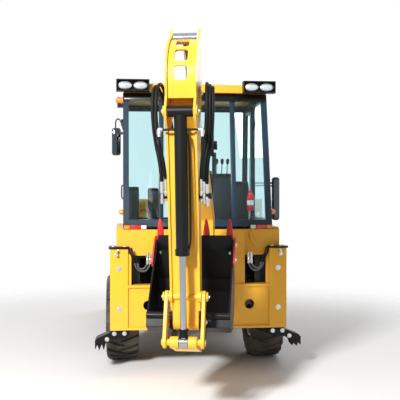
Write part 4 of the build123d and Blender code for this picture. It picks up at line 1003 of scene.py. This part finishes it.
for name, x in lever_table:
    hose(
        f"hoe_lever_{name}", [(x, -0.50, 2.02), (x, -0.54, 2.09), (x, -0.56, 2.15)], 0.007,
        "machine", zinc,
    )
    turned(
        f"lever_knob_{name}", (x, -0.558, 2.13), (x, -0.572, 2.19),
        [(0, 0.010), (0.2, 0.015), (0.6, 0.019), (0.9, 0.014), (1, 0.005)], "machine",
        black_plastic,
    )
bottle_x, bottle_y = 0.576, -0.760
turned(
    "extinguisher", (bottle_x, bottle_y, 1.628), (bottle_x, bottle_y, 1.850),
    [(0, 0.026), (0.03, 0.034), (0.06, 0.037), (0.72, 0.037), (0.82, 0.028), (0.86, 0.014),
     (0.94, 0.016), (1, 0.010)], "machine", red_enamel,
)
turned(
    "extinguisher_band", (bottle_x, bottle_y, 1.690), (bottle_x, bottle_y, 1.740),
    [(0, 0.0376), (0.5, 0.0379), (1, 0.0376)], "machine", clear_lens,
)

# ---- Seat cushions ------------------------------------------------------------------
# Black vinyl over moulded foam, crowned, with a piped seam round each and two sewn
# channels across.
vinyl = moulded("seat_vinyl", "#202226", 0.6, 2.0)


def cushion(name, centre, size, lean_back):
    """A crowned pad: its faces swell, its sides pull in between the corners."""
    mesh = bmesh.new()
    bmesh.ops.create_cube(mesh, size=2)
    bmesh.ops.subdivide_edges(mesh, edges=mesh.edges[:], cuts=11, use_grid_fill=True)
    for vert in mesh.verts:
        x, y, z = vert.co
        swell = (1 - x ** 4) * (1 - y ** 4)
        drawn = 1 - 0.05 * (1 - z * z) - 0.03 * (x * x * y * y)
        channel = sum(0.10 * exp(-((y - row) / 0.05) ** 2) for row in (-0.33, 0.33))
        high = z * (0.62 + 0.38 * swell - channel * swell * (abs(z) > 0.9))
        spot = Vector((x * drawn * size[0] / 2, y * drawn * size[1] / 2, high * size[2] / 2))
        turn = radians(lean_back)
        vert.co = Vector(centre) + Vector((
            spot.x, spot.y * cos(turn) - spot.z * sin(turn), spot.y * sin(turn) + spot.z * cos(turn)
        ))
    made = piece(name, mesh, vinyl, "machine", 80)
    return made


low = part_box("seat_cushions")[0]
bottom_pad = cushion("seat_pad", (0, low[1] + 0.335, low[2] + 0.056), (0.416, 0.395, 0.108), 0)
back_pad = cushion(
    "seat_back_pad", (0, low[1] + 0.085, low[2] + 0.285), (0.405, 0.560, 0.085), 96
)
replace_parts(bottom_pad, "seat_cushions")
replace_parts(back_pad, "seat_cushions")

# ---- Engine -------------------------------------------------------------------------
# A cast-iron block in the bay under the hood, sprayed all over with heat-resisting grey
# paint.
engine_paint = enamel("engine_paint", "#5A5E60", "#3A3530", 0.5)
finish(engine_paint, "engine_block")

# ---- Loader: edge plate and pipes ---------------------------------------------------
# The front bucket's edge is a bolted plate of bare wear steel, scoured bright, and a pair
# of pipes runs down the inside of each arm.
worn_steel, worn_shader = new_finish("worn_steel")
place = add_node(worn_steel, "ShaderNodeTexCoord").outputs["Object"]
scour = add_node(
    worn_steel, "ShaderNodeTexNoise", Vector=place, Scale=14.0, Detail=6.0, Distortion=0.8
)
scoured = add_node(
    worn_steel, "ShaderNodeMapRange", Value=scour.outputs[0], i1=0.3, i2=0.7, i3=0.3, i4=0.6
)
connect(worn_steel, scoured.outputs[0], worn_shader.inputs["Roughness"])
worn_shader.inputs["Base Color"].default_value = tint("#7D7A75")
worn_shader.inputs["Metallic"].default_value = 0.85
edge_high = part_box("loader_bucket")[1]
edge_half = edge_high[0] - 0.004
edge_back, edge_front, edge_z = edge_high[1] - 0.170, edge_high[1] - 0.004, 0.0735
cut_plate(
    "cutting_edge",
    [(-edge_half, edge_back, edge_z), (edge_half, edge_back, edge_z),
     (edge_half, edge_front, edge_z), (-edge_half, edge_front, edge_z)],
    (0, 0, 0.010), "loader_bucket", worn_steel,
)
bolts(
    "cutting_edge_bolts",
    [(-0.80 + 0.2 * step, edge_high[1] - 0.120, 0.083) for step in range(9)], (0, 0, 1), 0.012,
    "loader_bucket", worn_steel,
)
arm_side, tower_y = 0.441, 1.163
pipe_route = [  # forward of the tower, up
    (0.10, 1.640), (0.45, 1.560), (0.72, 1.500), (0.98, 1.375), (1.14, 1.290),
]
for hand, way in hands:
    for strand in (0, 1):
        lift = 0.018 + 0.028 * strand
        hose(
            f"arm_pipe_{hand}_{strand}",
            [(way * arm_side, tower_y + run, z + lift) for run, z in pipe_route],
            0.008, "loader_arms", black_enamel,
        )

# ---- Floor, backdrop and light ------------------------------------------------------
# A pale floor and large soft lamps, at a level where colours come out as they are written.
# The sky is white to the eye, to gloss and through glass, and weaker as a lamp.
floor_mesh = bpy.data.meshes.new("floor")
floor_half = 30
fade_start, fade_end = 2.6, 6.5
floor_mesh.from_pydata(
    [(-floor_half, -floor_half, 0), (floor_half, -floor_half, 0), (floor_half, floor_half, 0),
     (-floor_half, floor_half, 0)], [], [(0, 1, 2, 3)],
)
floor = bpy.data.objects.new("floor", floor_mesh)
bpy.context.collection.objects.link(floor)
floor_paint, floor_shader = new_finish("floor_paint")
floor_shader.inputs["Base Color"].default_value = (0.9, 0.9, 0.9, 1)
speckle = add_node(floor_paint, "ShaderNodeTexNoise", Scale=3.0, Detail=2.0)
matt = add_node(
    floor_paint, "ShaderNodeMapRange", Value=speckle.outputs[0], i1=0.3, i2=0.7, i3=0.85, i4=0.95
)
connect(floor_paint, matt.outputs[0], floor_shader.inputs["Roughness"])
out_from_middle = add_node(
    floor_paint, "ShaderNodeVectorMath", {"operation": "LENGTH"},
    i0=add_node(floor_paint, "ShaderNodeTexCoord").outputs["Object"],
)
edge_fade = add_node(
    floor_paint, "ShaderNodeMapRange", {"interpolation_type": "SMOOTHSTEP"},
    Value=out_from_middle.outputs["Value"], i1=fade_start, i2=fade_end, i3=1.0, i4=0.0,
)
connect(floor_paint, edge_fade.outputs[0], floor_shader.inputs["Alpha"])
floor_mesh.materials.append(floor_paint)

world = bpy.data.worlds.new("world")
bpy.context.scene.world = world
world.use_nodes = True
sky = world.node_tree.nodes["Background"]
sky.inputs[0].default_value = (1, 1, 1, 1)
path = add_node(world, "ShaderNodeLightPath").outputs
seen = add_node(
    world, "ShaderNodeMath", {"operation": "MAXIMUM"}, i0=path["Is Camera Ray"],
    i1=path["Is Glossy Ray"],
)
seen = add_node(
    world, "ShaderNodeMath", {"operation": "MAXIMUM"}, i0=seen.outputs[0],
    i1=path["Is Transmission Ray"],
)
lamp_level = 0.27
strength = add_node(
    world, "ShaderNodeMapRange", Value=seen.outputs[0], i1=0.0, i2=1.0, i3=lamp_level, i4=1.0
)
world.node_tree.links.new(strength.outputs[0], sky.inputs[1])

lamp_table = [  # name, place, size, watts
    ("key", (-4.8, -10.0, 6.2), 1.2, 1750),
    ("fill", (7, -6, 5), 5, 20),
    ("top", (0, 2, 9), 6, 110),
    ("front", (4, 8, 5), 5, 220),
]
for name, spot, size, watts in lamp_table:
    lamp_data = bpy.data.lights.new(name, "AREA")
    lamp_data.size = size
    lamp_data.energy = watts
    lamp = bpy.data.objects.new(name, lamp_data)
    lamp.location = spot
    lamp.rotation_euler = (Vector((0, 0, 1)) - Vector(spot)).to_track_quat("-Z", "Y").to_euler()
    bpy.context.collection.objects.link(lamp)

bpy.context.scene.view_settings.view_transform = "Standard"
